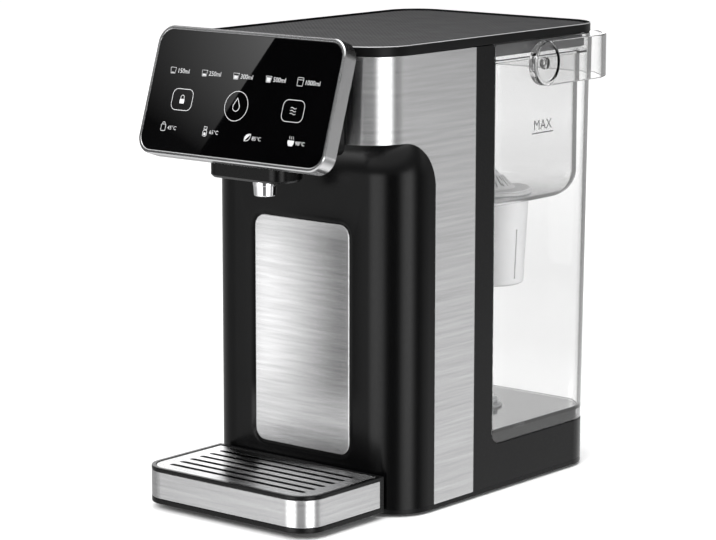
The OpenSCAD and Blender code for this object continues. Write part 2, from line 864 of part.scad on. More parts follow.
module pump_body() {
  color("#47484b") at_pump() {
    difference() {
      union() {
        layer(pump_floor, pump_top) circle(pump_r);
        translate([0, 0, feed_z]) bar_y(spigot_r, -pump_r - spigot_len, -pump_r + fuse);
      }
      layer(pump_cup_low, pump_top + eps) circle(pump_cup_r);
    }
    layer(pump_cup_low - eps, pump_top - fuse) circle(shaft_r);
  }
}

module pump_cover() {
  color("#55565a") at_pump() difference() {
    union() {
      layer(pump_top, pump_top + pump_cover_t) circle(pump_r);
      layer(pump_top, pump_top + pump_cover_t + hose_r) circle(spigot_r);
    }
    layer(0, lid_top) circle(hose_bore / 2);
  }
}

module pump_impeller() {
  color("#d7d8da") at_pump() translate([0, 0, pump_cup_low + gap]) difference() {
    union() {
      cylinder(r = impeller_r, h = impeller_t / 2);
      cylinder(r = shaft_r + impeller_hub, h = impeller_t);
      for (i = [0 : blade_n - 1]) rotate(360 * i / blade_n) translate([shaft_r + fuse, -blade_t / 2, 0])
        cube([impeller_r - shaft_r - 2 * fuse, blade_t, impeller_t]);
    }
    translate([0, 0, -eps]) cylinder(r = shaft_r + fit, h = 2 * impeller_t);
  }
}

module inlet_hose() {
  pipe_x = pump_r + hose_r + gap - pump_x;
  color("#d9dcdf") hose([[water_x, water_y, dock_low], [water_x, water_y, low_pipe_z],
                         [pipe_x, water_y, low_pipe_z], [pipe_x, pump_y, low_pipe_z],
                         [pipe_x, pump_y, pump_pipe_z], [-pump_x, pump_y, pump_pipe_z],
                         [-pump_x, pump_y, pump_top + pump_cover_t]]);
}

module feed_hose() {
  color("#d9dcdf") hose([[-pump_x, pump_y - pump_r, feed_z], [-heater_x, -heater_y, feed_z],
                         [-heater_x, -heater_y, heater_low - heater_cap_t]]);
}

module outlet_hose() {
  color("#d9dcdf") hose([[-heater_x, -heater_y, heater_top + heater_cap_t], [-heater_x, -heater_y, outlet_z],
                         [0, -heater_y, outlet_z], [0, -nozzle_y, outlet_z],
                         [0, -nozzle_y, spout_low + stem_h]]);
}

// A block on the power board, at a place across and up the board
module board_block(size, at) {
  translate([at.x, -size.y, at.y]) cube(size + [0, eps, 0]);
}

module power_board() {
  color("#20643a") translate([board_x, board_y - board_t, board_low]) {
    cube([board_w, board_t, board_h]);
    color("#34353a") board_block(relay, relay_at);
    color("#2b5fa8") board_block(capacitor, capacitor_at);
    color("#c9b24a") board_block(transformer, transformer_at);
    color("#1e1e20") translate([canister_at.x, 0, canister_at.y]) bar_y(canister_r, -canister_len, eps);
  }
}

module board_posts() {
  color("#c9a54b") for (x = [post_in, board_w - post_in]) for (z = [post_in, board_h - post_in])
    translate([board_x + x, 0, board_low + z]) bar_y(post_r, board_y, board_y + post_len);
}

// Y of the back plane of the head at a height
function head_back_y(z) = -head_y + head_d * cos(head_tilt)
  + (z - head_z + head_d * sin(head_tilt)) * tan(head_tilt);
module wire_loom() {
  y = board_y - board_t / 2;
  color("#7a2f2f") run([[loom_x, y, board_low + board_h], [loom_x, y, loom_z],
                        [loom_x, head_back_y(loom_z + loom_r) + gap, loom_z]], loom_r);
}

module mains_gland() {
  color("#141416") translate([-gland_x, 0, gland_z]) difference() {
    union() {
      bar_y(gland_r - fit, base_rear - wall - eps, base_rear + eps);
      bar_y(gland_r + gland_flange, base_rear, base_rear + gland_flange_t);
      bar_y(gland_r + gland_flange, base_rear - 2 * wall, base_rear - wall);
    }
    bar_y(gland_r / 2, 0, lid_rear);
  }
}

module at_water() {
  translate([water_x, water_y, 0]) children();
}

module dock_socket() {
  color("#232325") at_water() difference() {
    union() {
      layer(dock_low, platform_top) circle(dock_r - fit);
      layer(dock_low - spigot_len, dock_low + eps) circle(spigot_r);
    }
    layer(dock_floor, lid_top) difference() {
      circle(dock_cup_r);
      circle(dock_pin_r);
    }
    layer(disc_low - gap, lid_top) circle(2 * dock_pin_r);
    for (i = [0 : dock_port_n - 1]) rotate(360 * i / dock_port_n)
      translate([dock_cup_r / 2, 0, dock_low + dock_skin]) cylinder(r = hose_bore / 2, h = lid_top);
    layer(dock_low + dock_skin, dock_floor - dock_skin) circle(dock_cup_r / 2 + hose_bore);
    layer(0, dock_low + 2 * dock_skin) circle(hose_bore / 2);
  }
}

module dock_seal() {
  color("#b5462f") at_water() layer(dock_floor, dock_floor + seal_h) difference() {
    circle(dock_cup_r - fit);
    circle(valve_r + gap);
  }
}

// Clear tank with a skirt that goes over the platform of the base
module tank_shell() {
  color([0.85, 0.9, 0.93, 0.4]) {
    difference() {
      tank_form(0, tank_low, tank_top);
      tank_form(tank_t, tank_floor_top, lid_top);
      tank_form(tank_t, 0, tank_floor_low);
      translate([-inner_hw, tank_front - fuse, 0]) cube([2 * inner_hw, 2 * tank_t, tank_floor_low]);
      at_water() cylinder(r = valve_r + fit, h = tank_floor_top + fuse);
      translate([0, hub_y, hub_z]) bar_x(pin_step_r + fit, -hw, hw);
      window_corner(window_r - gap, wall + gap);
    }
    for (y = [tank_front + tank_t / 2, lid_rear - tank_t - tab_reach - gap])
      translate([-tab_len / 2, y, tab_top - tab_h]) cube([tab_len, tank_t / 2 + tab_reach + gap, tab_h]);
  }
}

module valve_housing() {
  color("#e9eaec") at_water() difference() {
    union() {
      layer(valve_low, valve_top) circle(valve_r);
      layer(tank_floor_top, tank_floor_top + valve_flange_t) circle(valve_r + valve_flange_w);
    }
    layer(valve_low + seat_t, valve_top - spider_t) circle(valve_r - valve_wall);
    layer(0, valve_low + seat_t + eps) circle(seat_hole_r);
    layer(0, lid_top) circle(stem_pin_r + fit);
    for (a = [0, 90]) rotate(a) translate([-2 * valve_r, -valve_port_w / 2, tank_floor_top + valve_flange_t])
      cube([4 * valve_r, valve_port_w, valve_port_h]);
  }
}

module valve_plunger() {
  color("#c94f3a") at_water() {
    layer(disc_low, disc_low + disc_t) circle(disc_r);
    layer(disc_low, valve_top + fuse) circle(stem_pin_r);
  }
}

module valve_spring() {
  color("#b9babd") at_water() layer(disc_low + disc_t + rest_gap, valve_top - spider_t) difference() {
    circle(stem_pin_r + spring_gap + spring_wire);
    circle(stem_pin_r + spring_gap);
  }
}

module pivot_pins() {
  color("#d9dee2") for (s = [0, 180]) translate([0, hub_y, hub_z]) rotate([0, 0, s]) {
    bar_x(pin_step_r, tank_hw - tank_t, tank_hw + fuse);
    bar_x(pivot_r, tank_hw, handle_hw - hub_set - gap);
  }
}

// Bail handle round the back of the tank
module tank_handle() {
  color([0.85, 0.9, 0.93, 0.5]) difference() {
    union() {
      layer(handle_low, handle_high) difference() {
        rear_outline(handle_hw, hub_y, handle_rear, handle_r);
        rear_outline(handle_hw - band_t, hub_y - fuse, handle_rear - band_t, handle_r - band_t);
      }
      for (s = [0, 180]) translate([0, hub_y, hub_z]) rotate([0, 0, s])
        bar_x(hub_r, tank_hw + gap, handle_hw);
    }
    translate([0, hub_y, hub_z]) {
      bar_x(pivot_r + fit, -2 * hw, 2 * hw);
      for (s = [0, 180]) rotate([0, 0, s]) bar_x(hub_r - hub_ring, handle_hw - hub_set, 2 * hw);
    }
  }
}

// Upright sided box with round lower edges
module bowl(inset, z0, z1) {
  half = reservoir_hw - inset;
  y0 = reservoir_front + inset;
  y1 = reservoir_rear - inset;
  r = reservoir_r - inset;
  intersection() {
    layer(z0, z1) outline(half, y0, y1, reservoir_r / 2 - inset / 2, r);
    rotate([90, 0, 0]) translate([0, 0, -y1 - fuse]) linear_extrude(y1 - y0 + 2 * fuse)
      front_outline(half, z0, z1 + fuse, r);
    across(half + fuse) translate([(y0 + y1) / 2, 0]) front_outline((y1 - y0) / 2, z0, z1 + fuse, r);
  }
}

// Clear upper tank that holds the unfiltered water and the filter
module reservoir() {
  flange_half = inner_hw - gap;
  flange_front = tank_front + tank_t + gap;
  flange_rear = lid_rear - tank_t - 2 * gap;
  color([0.85, 0.9, 0.93, 0.4]) difference() {
    union() {
      bowl(0, reservoir_low, flange_top);
      layer(flange_low, flange_top)
        rear_outline(flange_half, flange_front, flange_rear, rear_r - tank_t - gap);
    }
    bowl(reservoir_t, reservoir_floor, lid_top);
    at_water() cylinder(r = filter_r + gap, h = reservoir_floor + fuse);
  }
}

module filter_cartridge() {
  color("#e6e8ea") at_water() difference() {
    union() {
      translate([0, 0, filter_low]) cylinder(r1 = filter_tip_r, r2 = filter_r, h = filter_len + eps);
      layer(filter_rim, filter_top) circle(filter_rim_r);
    }
    translate([0, 0, filter_low + reservoir_t])
      cylinder(r1 = filter_tip_r - reservoir_t, r2 = filter_r - reservoir_t, h = filter_len);
    layer(filter_rim, filter_top + fuse) circle(filter_r - reservoir_t);
    for (i = [0 : filter_slot_n - 1]) rotate(filter_slot_turn + 360 * i / filter_slot_n)
      translate([filter_tip_r - 2 * reservoir_t, -filter_slot_w / 2, filter_low + filter_slot_up])
        cube([filter_r, filter_slot_w, filter_slot_h]);
  }
}

module filter_cap() {
  color("#eceef0") at_water() difference() {
    union() {
      layer(filter_top, filter_top + cap_plate) circle(filter_r);
      translate([0, 0, filter_top]) cylinder(r1 = cap_base_r, r2 = cap_r, h = cap_h);
    }
    translate([0, 0, filter_top - eps])
      cylinder(r1 = cap_base_r - 2 * reservoir_t, r2 = cap_r - reservoir_t, h = cap_h - reservoir_t);
    for (i = [0 : louvre_n - 1]) rotate(360 * i / louvre_n)
      translate([cap_r + fuse, -louvre_w / 2, filter_top + louvre_up])
        cube([filter_r, louvre_w, cap_h - louvre_up - louvre_down]);
  }
}

module filter_seal() {
  color("#7f8a92") at_water() layer(seal_low, filter_rim) difference() {
    circle(filter_rim_r - gap);
    circle(filter_r + fit);
  }
}

// The plan of the lid, drawn in by an inset
module lid_outline(inset) {
  outline(hw - inset, -band_front + inset, lid_rear - inset, front_r - inset, rear_r - inset);
}

module lid() {
  color("#4c4d50") difference() {
    layer(lid_low, lid_top) lid_outline(0);
    layer(lid_low - eps, lid_top - lid_plate)
      lid_outline(lid_plate);
    layer(lid_top - rim_d, lid_top + eps)
      lid_outline(rim_inset);
  }
}

module lid_skirt() {
  half = inner_hw - skirt_gap;
  y0 = tank_front + tank_t + skirt_gap;
  y1 = lid_rear - tank_t - skirt_gap;
  r = rear_r - tank_t - skirt_gap;
  color("#55565a") layer(skirt_low, lid_top - lid_plate) difference() {
    rear_outline(half, y0, y1, r);
    rear_outline(half - skirt_t, y0 + skirt_t, y1 - skirt_t, r - skirt_t);
  }
}

module tray_pan() {
  color("#1a1a1c") difference() {
    union() {
      layer(tray_low, skirt_bottom) front_outline(tray_hw, -tray_front, -tray_rear, tray_r);
      layer(skirt_bottom - eps, skirt_top + eps)
        front_outline(tray_hw - steel_t, -tray_front + steel_t, -tray_rear, tray_r - steel_t);
      layer(skirt_bottom - eps, skirt_top + eps)
        translate([-tray_hw, -skirt_rear]) square([tray_w, skirt_rear - tray_rear]);
      layer(skirt_top, rim_top) front_outline(tray_hw, -tray_front, -tray_rear, tray_r);
      for (s = [-1, 1]) translate([s * tongue_x - tongue_w / 2, -tray_rear - fuse, tongue_z])
        cube([tongue_w, tongue_in, tongue_t]);
    }
    layer(tray_floor, rim_top + eps)
      front_outline(tray_hw - pan_wall, -tray_front + pan_wall, -tray_rear - pan_wall, tray_r - pan_wall);
    layer(grate_seat, rim_top + eps)
      front_outline(tray_hw - rim_w, -tray_front + rim_w, -tray_rear - rim_w, tray_r - rim_w);
  }
}

module tray_skirt() {
  color("#c9cacc") layer(skirt_bottom, skirt_top) difference() {
    front_outline(tray_hw, -tray_front, -skirt_rear, tray_r);
    front_outline(tray_hw - steel_t, -tray_front + steel_t, 0, tray_r - steel_t);
  }
}

module tray_feet() {
  color("#2a2a2c") for (s = [-1, 1]) for (y = [-tray_front + tray_foot_front, -tray_rear - tray_foot_rear])
    translate([s * (tray_hw - tray_foot_in), y, 0]) cylinder(r = tray_foot_r, h = tray_low);
}

module drip_grate() {
  half = tray_hw - rim_w - gap;
  y0 = -tray_front + rim_w + gap;
  y1 = -tray_rear - rim_w - gap;
  color("#bfc0c2") layer(grate_seat + rest_gap, grate_seat + rest_gap + grate_t) difference() {
    front_outline(half, y0, y1, tray_r - rim_w - gap);
    for (i = [0 : slot_n - 1]) translate([0, (y0 + y1) / 2 + (i - (slot_n - 1) / 2) * slot_pitch])
      round_rect(slot_len, slot_w, slot_w / 2 - eps);
  }
}

base_pan();
base_feet();
base_screws();
rear_frame();
inner_frame();
steel_wrap();
front_column();
backsplash();
top_deck();
head_neck();
head_back();
head_bezel();
touch_glass();
control_board();
touch_pads();
spout_housing();
nozzle();
heater_tube();
heater_caps();
heater_bracket();
thermal_cutouts();
temperature_sensor();
pump_body();
pump_cover();
pump_impeller();
pump_mount();
inlet_hose();
feed_hose();
outlet_hose();
power_board();
board_posts();
wire_loom();
mains_gland();
dock_socket();
dock_seal();
tank_shell();
valve_housing();
valve_plunger();
valve_spring();
pivot_pins();
tank_handle();
reservoir();
filter_cartridge();
filter_cap();
filter_seal();
lid();
lid_skirt();
tray_pan();
tray_skirt();
tray_feet();
drip_grate();
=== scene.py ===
from math import cos, sin, tan, radians, pi
import bmesh
import bpy
from mathutils import Matrix, Vector


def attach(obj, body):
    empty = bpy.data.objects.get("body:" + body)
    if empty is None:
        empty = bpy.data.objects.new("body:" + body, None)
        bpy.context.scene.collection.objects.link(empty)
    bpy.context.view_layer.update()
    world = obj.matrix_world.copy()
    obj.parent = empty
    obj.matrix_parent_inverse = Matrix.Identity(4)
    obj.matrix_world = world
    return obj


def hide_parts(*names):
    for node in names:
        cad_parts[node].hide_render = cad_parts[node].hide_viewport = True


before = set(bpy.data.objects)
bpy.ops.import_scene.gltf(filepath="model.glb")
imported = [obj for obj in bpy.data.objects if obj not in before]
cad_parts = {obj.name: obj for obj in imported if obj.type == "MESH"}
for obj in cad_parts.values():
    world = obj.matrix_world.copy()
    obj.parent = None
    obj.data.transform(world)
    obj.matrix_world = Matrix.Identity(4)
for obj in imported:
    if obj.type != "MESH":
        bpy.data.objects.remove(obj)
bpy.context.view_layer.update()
scene = bpy.context.scene
scene.view_settings.view_transform = "Standard"
mm = 0.001

# Camera
# A long lens at a low angle, in front of the tray and to the right of it.
# Its place and focal length were fitted to edges of the dispenser in the picture.
picture_width = 716
focal_px = 2869.87
azimuth = radians(39.601)
elevation = radians(10.201)
roll = radians(0.041)
aside = -10.813 * mm
above = 140.059 * mm
away = 1922.89 * mm
origin_y = -3.4 * mm
nearest = 50 * mm
back = Vector((sin(azimuth) * cos(elevation), -cos(azimuth) * cos(elevation), sin(elevation)))
level = Vector((cos(azimuth), sin(azimuth), 0))
upright = back.cross(level)
right = cos(roll) * level + sin(roll) * upright
up = cos(roll) * upright - sin(roll) * level
camera = bpy.data.objects.new("camera", bpy.data.cameras.new("camera"))
camera.data.sensor_fit = "HORIZONTAL"
camera.data.lens = focal_px * camera.data.sensor_width / picture_width
camera.data.clip_start = nearest
camera_place = right * aside + up * above + back * away + Vector((0, origin_y, 0))
camera_turn = Matrix((right, up, back)).transposed().to_4x4()
camera.matrix_world = Matrix.Translation(camera_place) @ camera_turn
scene.collection.objects.link(camera)
scene.camera = camera

# Floor, sky and lamps
# A pale seamless floor under a white sky, with soft lamps overhead, at both sides and in front.
# Mirrored rays see bright and dark bands, as from soft boxes and flags: one ring just under the horizon, one
# above it. Light bent inside the clear walls sees a darker floor and sky, which draws their edges.
floor_size = 16
floor_white = 0.8
floor_reach = 4.0
sky_fill = 0.42
bent_tone = 0.2
top_tone = 2.0
ground_tones = (1.8, 0.6)
table_gain = 2.0

# Stops of the floor: distance from the middle of the dispenser in metres, and tone
floor_glow = ((0.3, 0.03), (0.44, 0.05), (0.79, 0.13), (1.26, 0.27), (1.93, 0.46), (3.7, 0.63))
through_floor = ((0.2, 1.0), (0.35, 0.97), (0.5, 0.9), (0.8, 0.86), (1.2, 0.97), (2.0, 1.22), (3.7, 1.22))

# Stops of the bands in the sky: bearing in degrees from the front, and tone
low_bands = ((-180, 0.5), (-150, 0.6), (-120, 0.6), (-105, 0.45), (-70, 0.45), (-55, 0.7), (-46, 1.0),
             (-38, 1.45), (-32, 2.2), (-26, 4.2), (-12, 5.2), (4, 4.4), (13, 1.5), (20, 0.15), (42, 0.1),
             (49, 0.5), (57, 3.2), (66, 5.6), (80, 6.2), (86, 3.4), (94, 0.8), (100, 0.25), (112, 0.3),
             (122, 0.58), (180, 0.58))
high_bands = ((-180, 0.4), (-160, 0.8), (-150, 2.0), (-125, 2.0), (-110, 0.5), (-85, 0.1), (-65, 0.0),
              (-15, 0.0), (10, 0.3), (180, 0.3))
table_bands = ((-180, 1), (-160, 1), (-145, 0), (104, 0), (114, 1), (180, 1))

# How steep a ray runs, from -1 straight down to 1 straight up, where one tone goes over into the next
ground_rise = (-0.75, -0.5)
under_rise = (-0.36, -0.26)
table_rise = (-0.25, -0.16)
horizon_rise = (-0.05, 0.02)
bent_rise = (0.3, 0.4)
top_rise = (0.4, 0.5)


def feed(tree, socket, value):
    """A number or another socket put into a socket."""
    if isinstance(value, (int, float)):
        socket.default_value = value
    else:
        tree.links.new(value, socket)


def combine(tree, operation, first, second):
    """Two values put together by an operation of arithmetic."""
    total = tree.nodes.new("ShaderNodeMath")
    total.operation = operation
    feed(tree, total.inputs[0], first)
    feed(tree, total.inputs[1], second)
    return total.outputs[0]


def blend(tree, share, first, second):
    """A value between two others."""
    mix = tree.nodes.new("ShaderNodeMix")
    feed(tree, mix.inputs[0], share)
    feed(tree, mix.inputs[2], first)
    feed(tree, mix.inputs[3], second)
    return mix.outputs[0]


def remap(tree, value, low, high, new_low, new_high):
    """A value moved from one range to another, and held inside it."""
    span = tree.nodes.new("ShaderNodeMapRange")
    for name, number in zip(("From Min", "From Max", "To Min", "To Max"), (low, high, new_low, new_high)):
        span.inputs[name].default_value = number
    tree.links.new(value, span.inputs["Value"])
    return span.outputs[0]


def curve_of(tree, value, low, high, stops):
    """A value looked up on a line through stops (place, tone), between a low and a high place."""
    peak = max(tone for place, tone in stops)
    ramp = tree.nodes.new("ShaderNodeValToRGB")
    marks = ramp.color_ramp.elements
    marks[0].position = (stops[0][0] - low) / (high - low)
    marks[1].position = (stops[-1][0] - low) / (high - low)
    for place, tone in stops[1:-1]:
        marks.new((place - low) / (high - low))
    for mark, (place, tone) in zip(marks, stops):
        mark.color = (tone / peak, tone / peak, tone / peak, 1)
    tree.links.new(remap(tree, value, low, high, 0, 1), ramp.inputs[0])
    return combine(tree, "MULTIPLY", ramp.outputs["Color"], peak)


def clear_share(tree, ray):
    """1 for light that came through clear pieces alone, and 0 for the rest."""
    unscattered = remap(tree, ray["Diffuse Depth"], 0, 1, 1, 0)
    return combine(tree, "MULTIPLY", ray["Is Transmission Ray"], unscattered)


def plane(name, width, depth, matrix):
    """A flat card, centred on the matrix and facing its Z."""
    mesh = bpy.data.meshes.new(name)
    w, d = width / 2, depth / 2
    mesh.from_pydata([(-w, -d, 0), (w, -d, 0), (w, d, 0), (-w, d, 0)], [], [(0, 1, 2, 3)])
    card = bpy.data.objects.new(name, mesh)
    card.matrix_world = matrix
    scene.collection.objects.link(card)
    return card


world = bpy.data.worlds.new("sky")
scene.world = world
world.use_nodes = True
world.cycles.sampling_method = "NONE"
sky = world.node_tree
ray = sky.nodes.new("ShaderNodeLightPath").outputs
heading = sky.nodes.new("ShaderNodeSeparateXYZ")
sky.links.new(sky.nodes.new("ShaderNodeTexCoord").outputs["Generated"], heading.inputs[0])
rise = heading.outputs["Z"]
frontward = combine(sky, "MULTIPLY", heading.outputs["Y"], -1.0)
bearing = combine(sky, "ARCTAN2", heading.outputs["X"], frontward)
bearing = combine(sky, "MULTIPLY", bearing, 180 / pi)
low_tone, high_tone, table_share = [curve_of(sky, bearing, -180, 180, bands)
                                    for bands in (low_bands, high_bands, table_bands)]
table_share = combine(sky, "MULTIPLY", table_share, remap(sky, rise, *table_rise, table_gain, 0))
low_tone = combine(sky, "MULTIPLY", low_tone, combine(sky, "ADD", table_share, 1.0))
ground_tone = remap(sky, rise, *ground_rise, *ground_tones)
tone = blend(sky, remap(sky, rise, *under_rise, 1, 0), low_tone, ground_tone)
tone = blend(sky, remap(sky, rise, *horizon_rise, 0, 1), tone, high_tone)
tone = blend(sky, remap(sky, rise, *top_rise, 0, 1), tone, top_tone)
mirrored = combine(sky, "MULTIPLY", ray["Is Glossy Ray"], ray["Is Reflection Ray"])
bent = remap(sky, rise, *bent_rise, 1, bent_tone)
plain = blend(sky, clear_share(sky, ray), remap(sky, ray["Is Camera Ray"], 0, 1, sky_fill, 1), bent)
tone = blend(sky, mirrored, plain, tone)
sky.links.new(tone, sky.nodes["Background"].inputs["Strength"])
sky.nodes["Background"].inputs["Color"].default_value = (1, 1, 1, 1)

floor = plane("floor", floor_size, floor_size, Matrix.Identity(4))
floor.visible_glossy = False
floor_paint = bpy.data.materials.new("floor_paint")
floor_paint.use_nodes = True
tree = floor_paint.node_tree
paint = tree.nodes["Principled BSDF"].inputs
paint["Roughness"].default_value = 0.9
paint["Specular IOR Level"].default_value = 0.1
paint["Emission Color"].default_value = (1, 1, 1, 1)
ray = tree.nodes.new("ShaderNodeLightPath").outputs
reach = tree.nodes.new("ShaderNodeVectorMath")
reach.operation = "LENGTH"
tree.links.new(tree.nodes.new("ShaderNodeTexCoord").outputs["Object"], reach.inputs[0])
glow = curve_of(tree, reach.outputs["Value"], 0, floor_reach, floor_glow)
seen = combine(tree, "MAXIMUM", ray["Is Camera Ray"], ray["Is Transmission Ray"])
bent = combine(tree, "MULTIPLY", remap(tree, ray["Glossy Depth"], 0, 1, 1, bent_tone),
               curve_of(tree, reach.outputs["Value"], 0, floor_reach, through_floor))
lit_share = blend(tree, clear_share(tree, ray), 1.0, bent)
glow = combine(tree, "MULTIPLY", combine(tree, "MULTIPLY", glow, seen), lit_share)
tree.links.new(combine(tree, "MULTIPLY", lit_share, floor_white), paint["Base Color"])
tree.links.new(glow, paint["Emission Strength"])
floor.data.materials.append(floor_paint)


def aimed(place, target):
    """A matrix at a place, with its Z turned to a target."""
    facing = Vector(target) - Vector(place)
    return Matrix.Translation(place) @ facing.to_track_quat("Z", "Y").to_matrix().to_4x4()


def lamp(name, place, target, width, height, power):
    """A soft box of a width and a height, at a place and turned to a target."""
    data = bpy.data.lights.new(name, "AREA")
    data.shape = "RECTANGLE"
    data.size = width
    data.size_y = height
    data.energy = power
    box = bpy.data.objects.new(name, data)
    box.matrix_world = aimed(place, target) @ Matrix.Rotation(pi, 4, "X")
    scene.collection.objects.link(box)
    return box


lamp("overhead_lamp", (0.25, 0.2, 1.9), (0, 0, 0.1), 1.8, 1.8, 34)
lamp("left_lamp", (-1.6, -0.9, 1.1), (0, 0, 0.15), 0.8, 1.4, 15).visible_glossy = False
lamp("right_lamp", (1.9, 0.15, 0.8), (0, 0, 0.15), 0.9, 1.6, 9).visible_glossy = False
lamp("front_lamp", (0.5, -1.6, 1.2), (0, -0.15, 0), 1.4, 1.0, 42).visible_glossy = False


def card(name, matrix, width, height, tone_x, tone_y=(0, 1, 1, 1)):
    """A card seen only in reflections, with a tone that goes from one place to another along its X and Y."""
    sheet = plane(name, width, height, matrix)
    paint = bpy.data.materials.new(name)
    paint.use_nodes = True
    tree = paint.node_tree
    split = tree.nodes.new("ShaderNodeSeparateXYZ")
    tree.links.new(tree.nodes.new("ShaderNodeTexCoord").outputs["Object"], split.inputs[0])
    base = tree.nodes["Principled BSDF"].inputs
    base["Base Color"].default_value = (0, 0, 0, 1)
    base["Specular IOR Level"].default_value = 0
    base["Emission Color"].default_value = (1, 1, 1, 1)
    tone_across = remap(tree, split.outputs["X"], *tone_x)
    tone_along = remap(tree, split.outputs["Y"], *tone_y)
    tree.links.new(combine(tree, "MULTIPLY", tone_across, tone_along), base["Emission Strength"])
    sheet.data.materials.append(paint)
    sheet.visible_camera = False
    sheet.visible_diffuse = False
    sheet.visible_transmission = False
    sheet.visible_shadow = False


card("lid_flag", aimed((-0.2, 0.16, 0.553), (-0.2, 0, 0.553)), 0.9, 0.5, (0, 1, 0, 0))
card("splash_card", aimed((-0.063, -0.153, 0.111), (-0.063, 0, 0.111)), 0.09, 0.122,
     (-0.03, 0.045, 0.25, 1.9))

# The glow on the touch glass ends along a slanting line, so its card is set where that line is mirrored from
head_tilt = 18
head_y = 136
head_z = 269.5
glow_line = ((19, 39), (-23.5, -37.5))
glow_width = 0.3
glow_height = 0.6
glow_fade = 0.12
panel_centre = Vector((0, -head_y, head_z)) * mm
panel_lean = radians(head_tilt)
panel_up = Vector((0, sin(panel_lean), cos(panel_lean)))
panel_out = Vector((0, -cos(panel_lean), sin(panel_lean)))
edge = []
for u, v in glow_line:
    spot = panel_centre + (Vector((u, 0, 0)) + panel_up * v) * mm
    sight = (spot - camera.matrix_world.translation).normalized()
    edge.append(spot + sight.reflect(panel_out))
along = (edge[0] - edge[1]).normalized()
out = (panel_centre - edge[0]).normalized()
aside_edge = along.cross(out).normalized()
out = aside_edge.cross(along).normalized()
glow_half = (edge[0] - edge[1]).length / 2
glow_middle = (edge[0] + edge[1]) / 2 + aside_edge * glow_width / 2
glow_turn = Matrix((aside_edge, along, out)).transposed().to_4x4()
card("glass_card", Matrix.Translation(glow_middle) @ glow_turn, glow_width, glow_height,
     (-glow_width / 2, glow_fade - glow_width / 2, 1.0, 0.2), (-glow_half, glow_half, 0.05, 2.1))

# Base pan
# The bottom plate of the dispenser, moulded in black plastic and screwed up into the column and the frame.
# It shows as a thin dark line under the steel. Its holes take the feet and the screws.
case_black = (0.003, 0.003, 0.0032)


def finish_nodes(name):
    """A new material, with its node tree and its shader."""
    material = bpy.data.materials.new(name)
    material.use_nodes = True
    return material, material.node_tree, material.node_tree.nodes["Principled BSDF"]


def noise(tree, scale, stretch=(1, 1, 1), detail=4):
    """Noise in the frame: scale is about the number of blotches in a metre, stretch changes it by axis."""
    place = tree.nodes.new("ShaderNodeTexCoord")
    size = tree.nodes.new("ShaderNodeMapping")
    size.inputs["Scale"].default_value = stretch
    blotches = tree.nodes.new("ShaderNodeTexNoise")
    blotches.inputs["Scale"].default_value = scale
    blotches.inputs["Detail"].default_value = detail
    tree.links.new(place.outputs["Object"], size.inputs["Vector"])
    tree.links.new(size.outputs[0], blotches.inputs["Vector"])
    return blotches.outputs["Fac"]


def spread(tree, value, low, high):
    """A noise value turned into a number between low and high."""
    return remap(tree, value, 0.3, 0.7, low, high)


def tint(tree, value, colour, change):
    """A noise value turned into a colour that is darker or lighter by a share of itself."""
    ramp = tree.nodes.new("ShaderNodeValToRGB")
    ramp.color_ramp.elements[0].position = 0.3
    ramp.color_ramp.elements[1].position = 0.7
    ramp.color_ramp.elements[0].color = (*[c * (1 - change) for c in colour], 1)
    ramp.color_ramp.elements[1].color = (*[c * (1 + change) for c in colour], 1)
    tree.links.new(value, ramp.inputs[0])
    return ramp.outputs["Color"]


def dent(tree, base, value, strength, depth):
    """Raises the surface by a value, up to a depth in metres."""
    bump = tree.nodes.new("ShaderNodeBump")
    bump.inputs["Strength"].default_value = strength
    bump.inputs["Distance"].default_value = depth
    tree.links.new(value, bump.inputs["Height"])
    tree.links.new(bump.outputs[0], base.inputs["Normal"])


def moulded(name, colour, roughness, specular, grain=900, depth=0.00003):
    """Moulded plastic: faint clouds in its colour, the grain of the mould in its gloss and surface."""
    material, tree, base = finish_nodes(name)
    clouds = noise(tree, 35)
    fine = noise(tree, grain)
    tree.links.new(tint(tree, clouds, colour, 0.12), base.inputs["Base Color"])
    tree.links.new(spread(tree, fine, roughness * 0.88, roughness * 1.12), base.inputs["Roughness"])
    base.inputs["Specular IOR Level"].default_value = specular
    dent(tree, base, fine, 0.05, depth)
    return material


def round_over(part, width):
    """A small round along the sharp edges of a piece."""
    rounding = part.modifiers.new("rounding", "BEVEL")
    rounding.width = width * mm
    rounding.segments = 2
    rounding.limit_method = "ANGLE"
    rounding.angle_limit = radians(50)


def dress(material, edge, *nodes):
    """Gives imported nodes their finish, and a small round along their edges that catches the light."""
    for node in nodes:
        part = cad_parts[node]
        for slot in range(len(part.data.materials)):
            part.data.materials[slot] = material
        part.modifiers.new("weld", "WELD").merge_threshold = 0.001 * mm
        flat = part.modifiers.new("flat", "DECIMATE")
        flat.decimate_type = "DISSOLVE"
        flat.angle_limit = radians(0.5)
        if edge:
            round_over(part, edge)
        part.modifiers.new("even", "WEIGHTED_NORMAL").keep_sharp = True


pan_plastic = moulded("pan_plastic", case_black, 0.3, 0.12)
dress(pan_plastic, 0.5, "base_pan")

# Feet and base screws
# Four soft rubber pads pressed into the base pan by their stems, and four steel screws beside them.
# Only the rims of the pads show, in the shadow under the pan.
rubber_black = (0.016, 0.016, 0.017)
screw_steel = (0.55, 0.55, 0.56)


def turned_metal(name, colour, roughness):
    """Plain metal with fine marks from its tool."""
    material, tree, base = finish_nodes(name)
    marks = noise(tree, 400, (1, 1, 3))
    base.inputs["Metallic"].default_value = 1
    tree.links.new(tint(tree, marks, colour, 0.08), base.inputs["Base Color"])
    tree.links.new(spread(tree, marks, roughness * 0.75, roughness * 1.25), base.inputs["Roughness"])
    dent(tree, base, marks, 0.1, 0.00002)
    return material


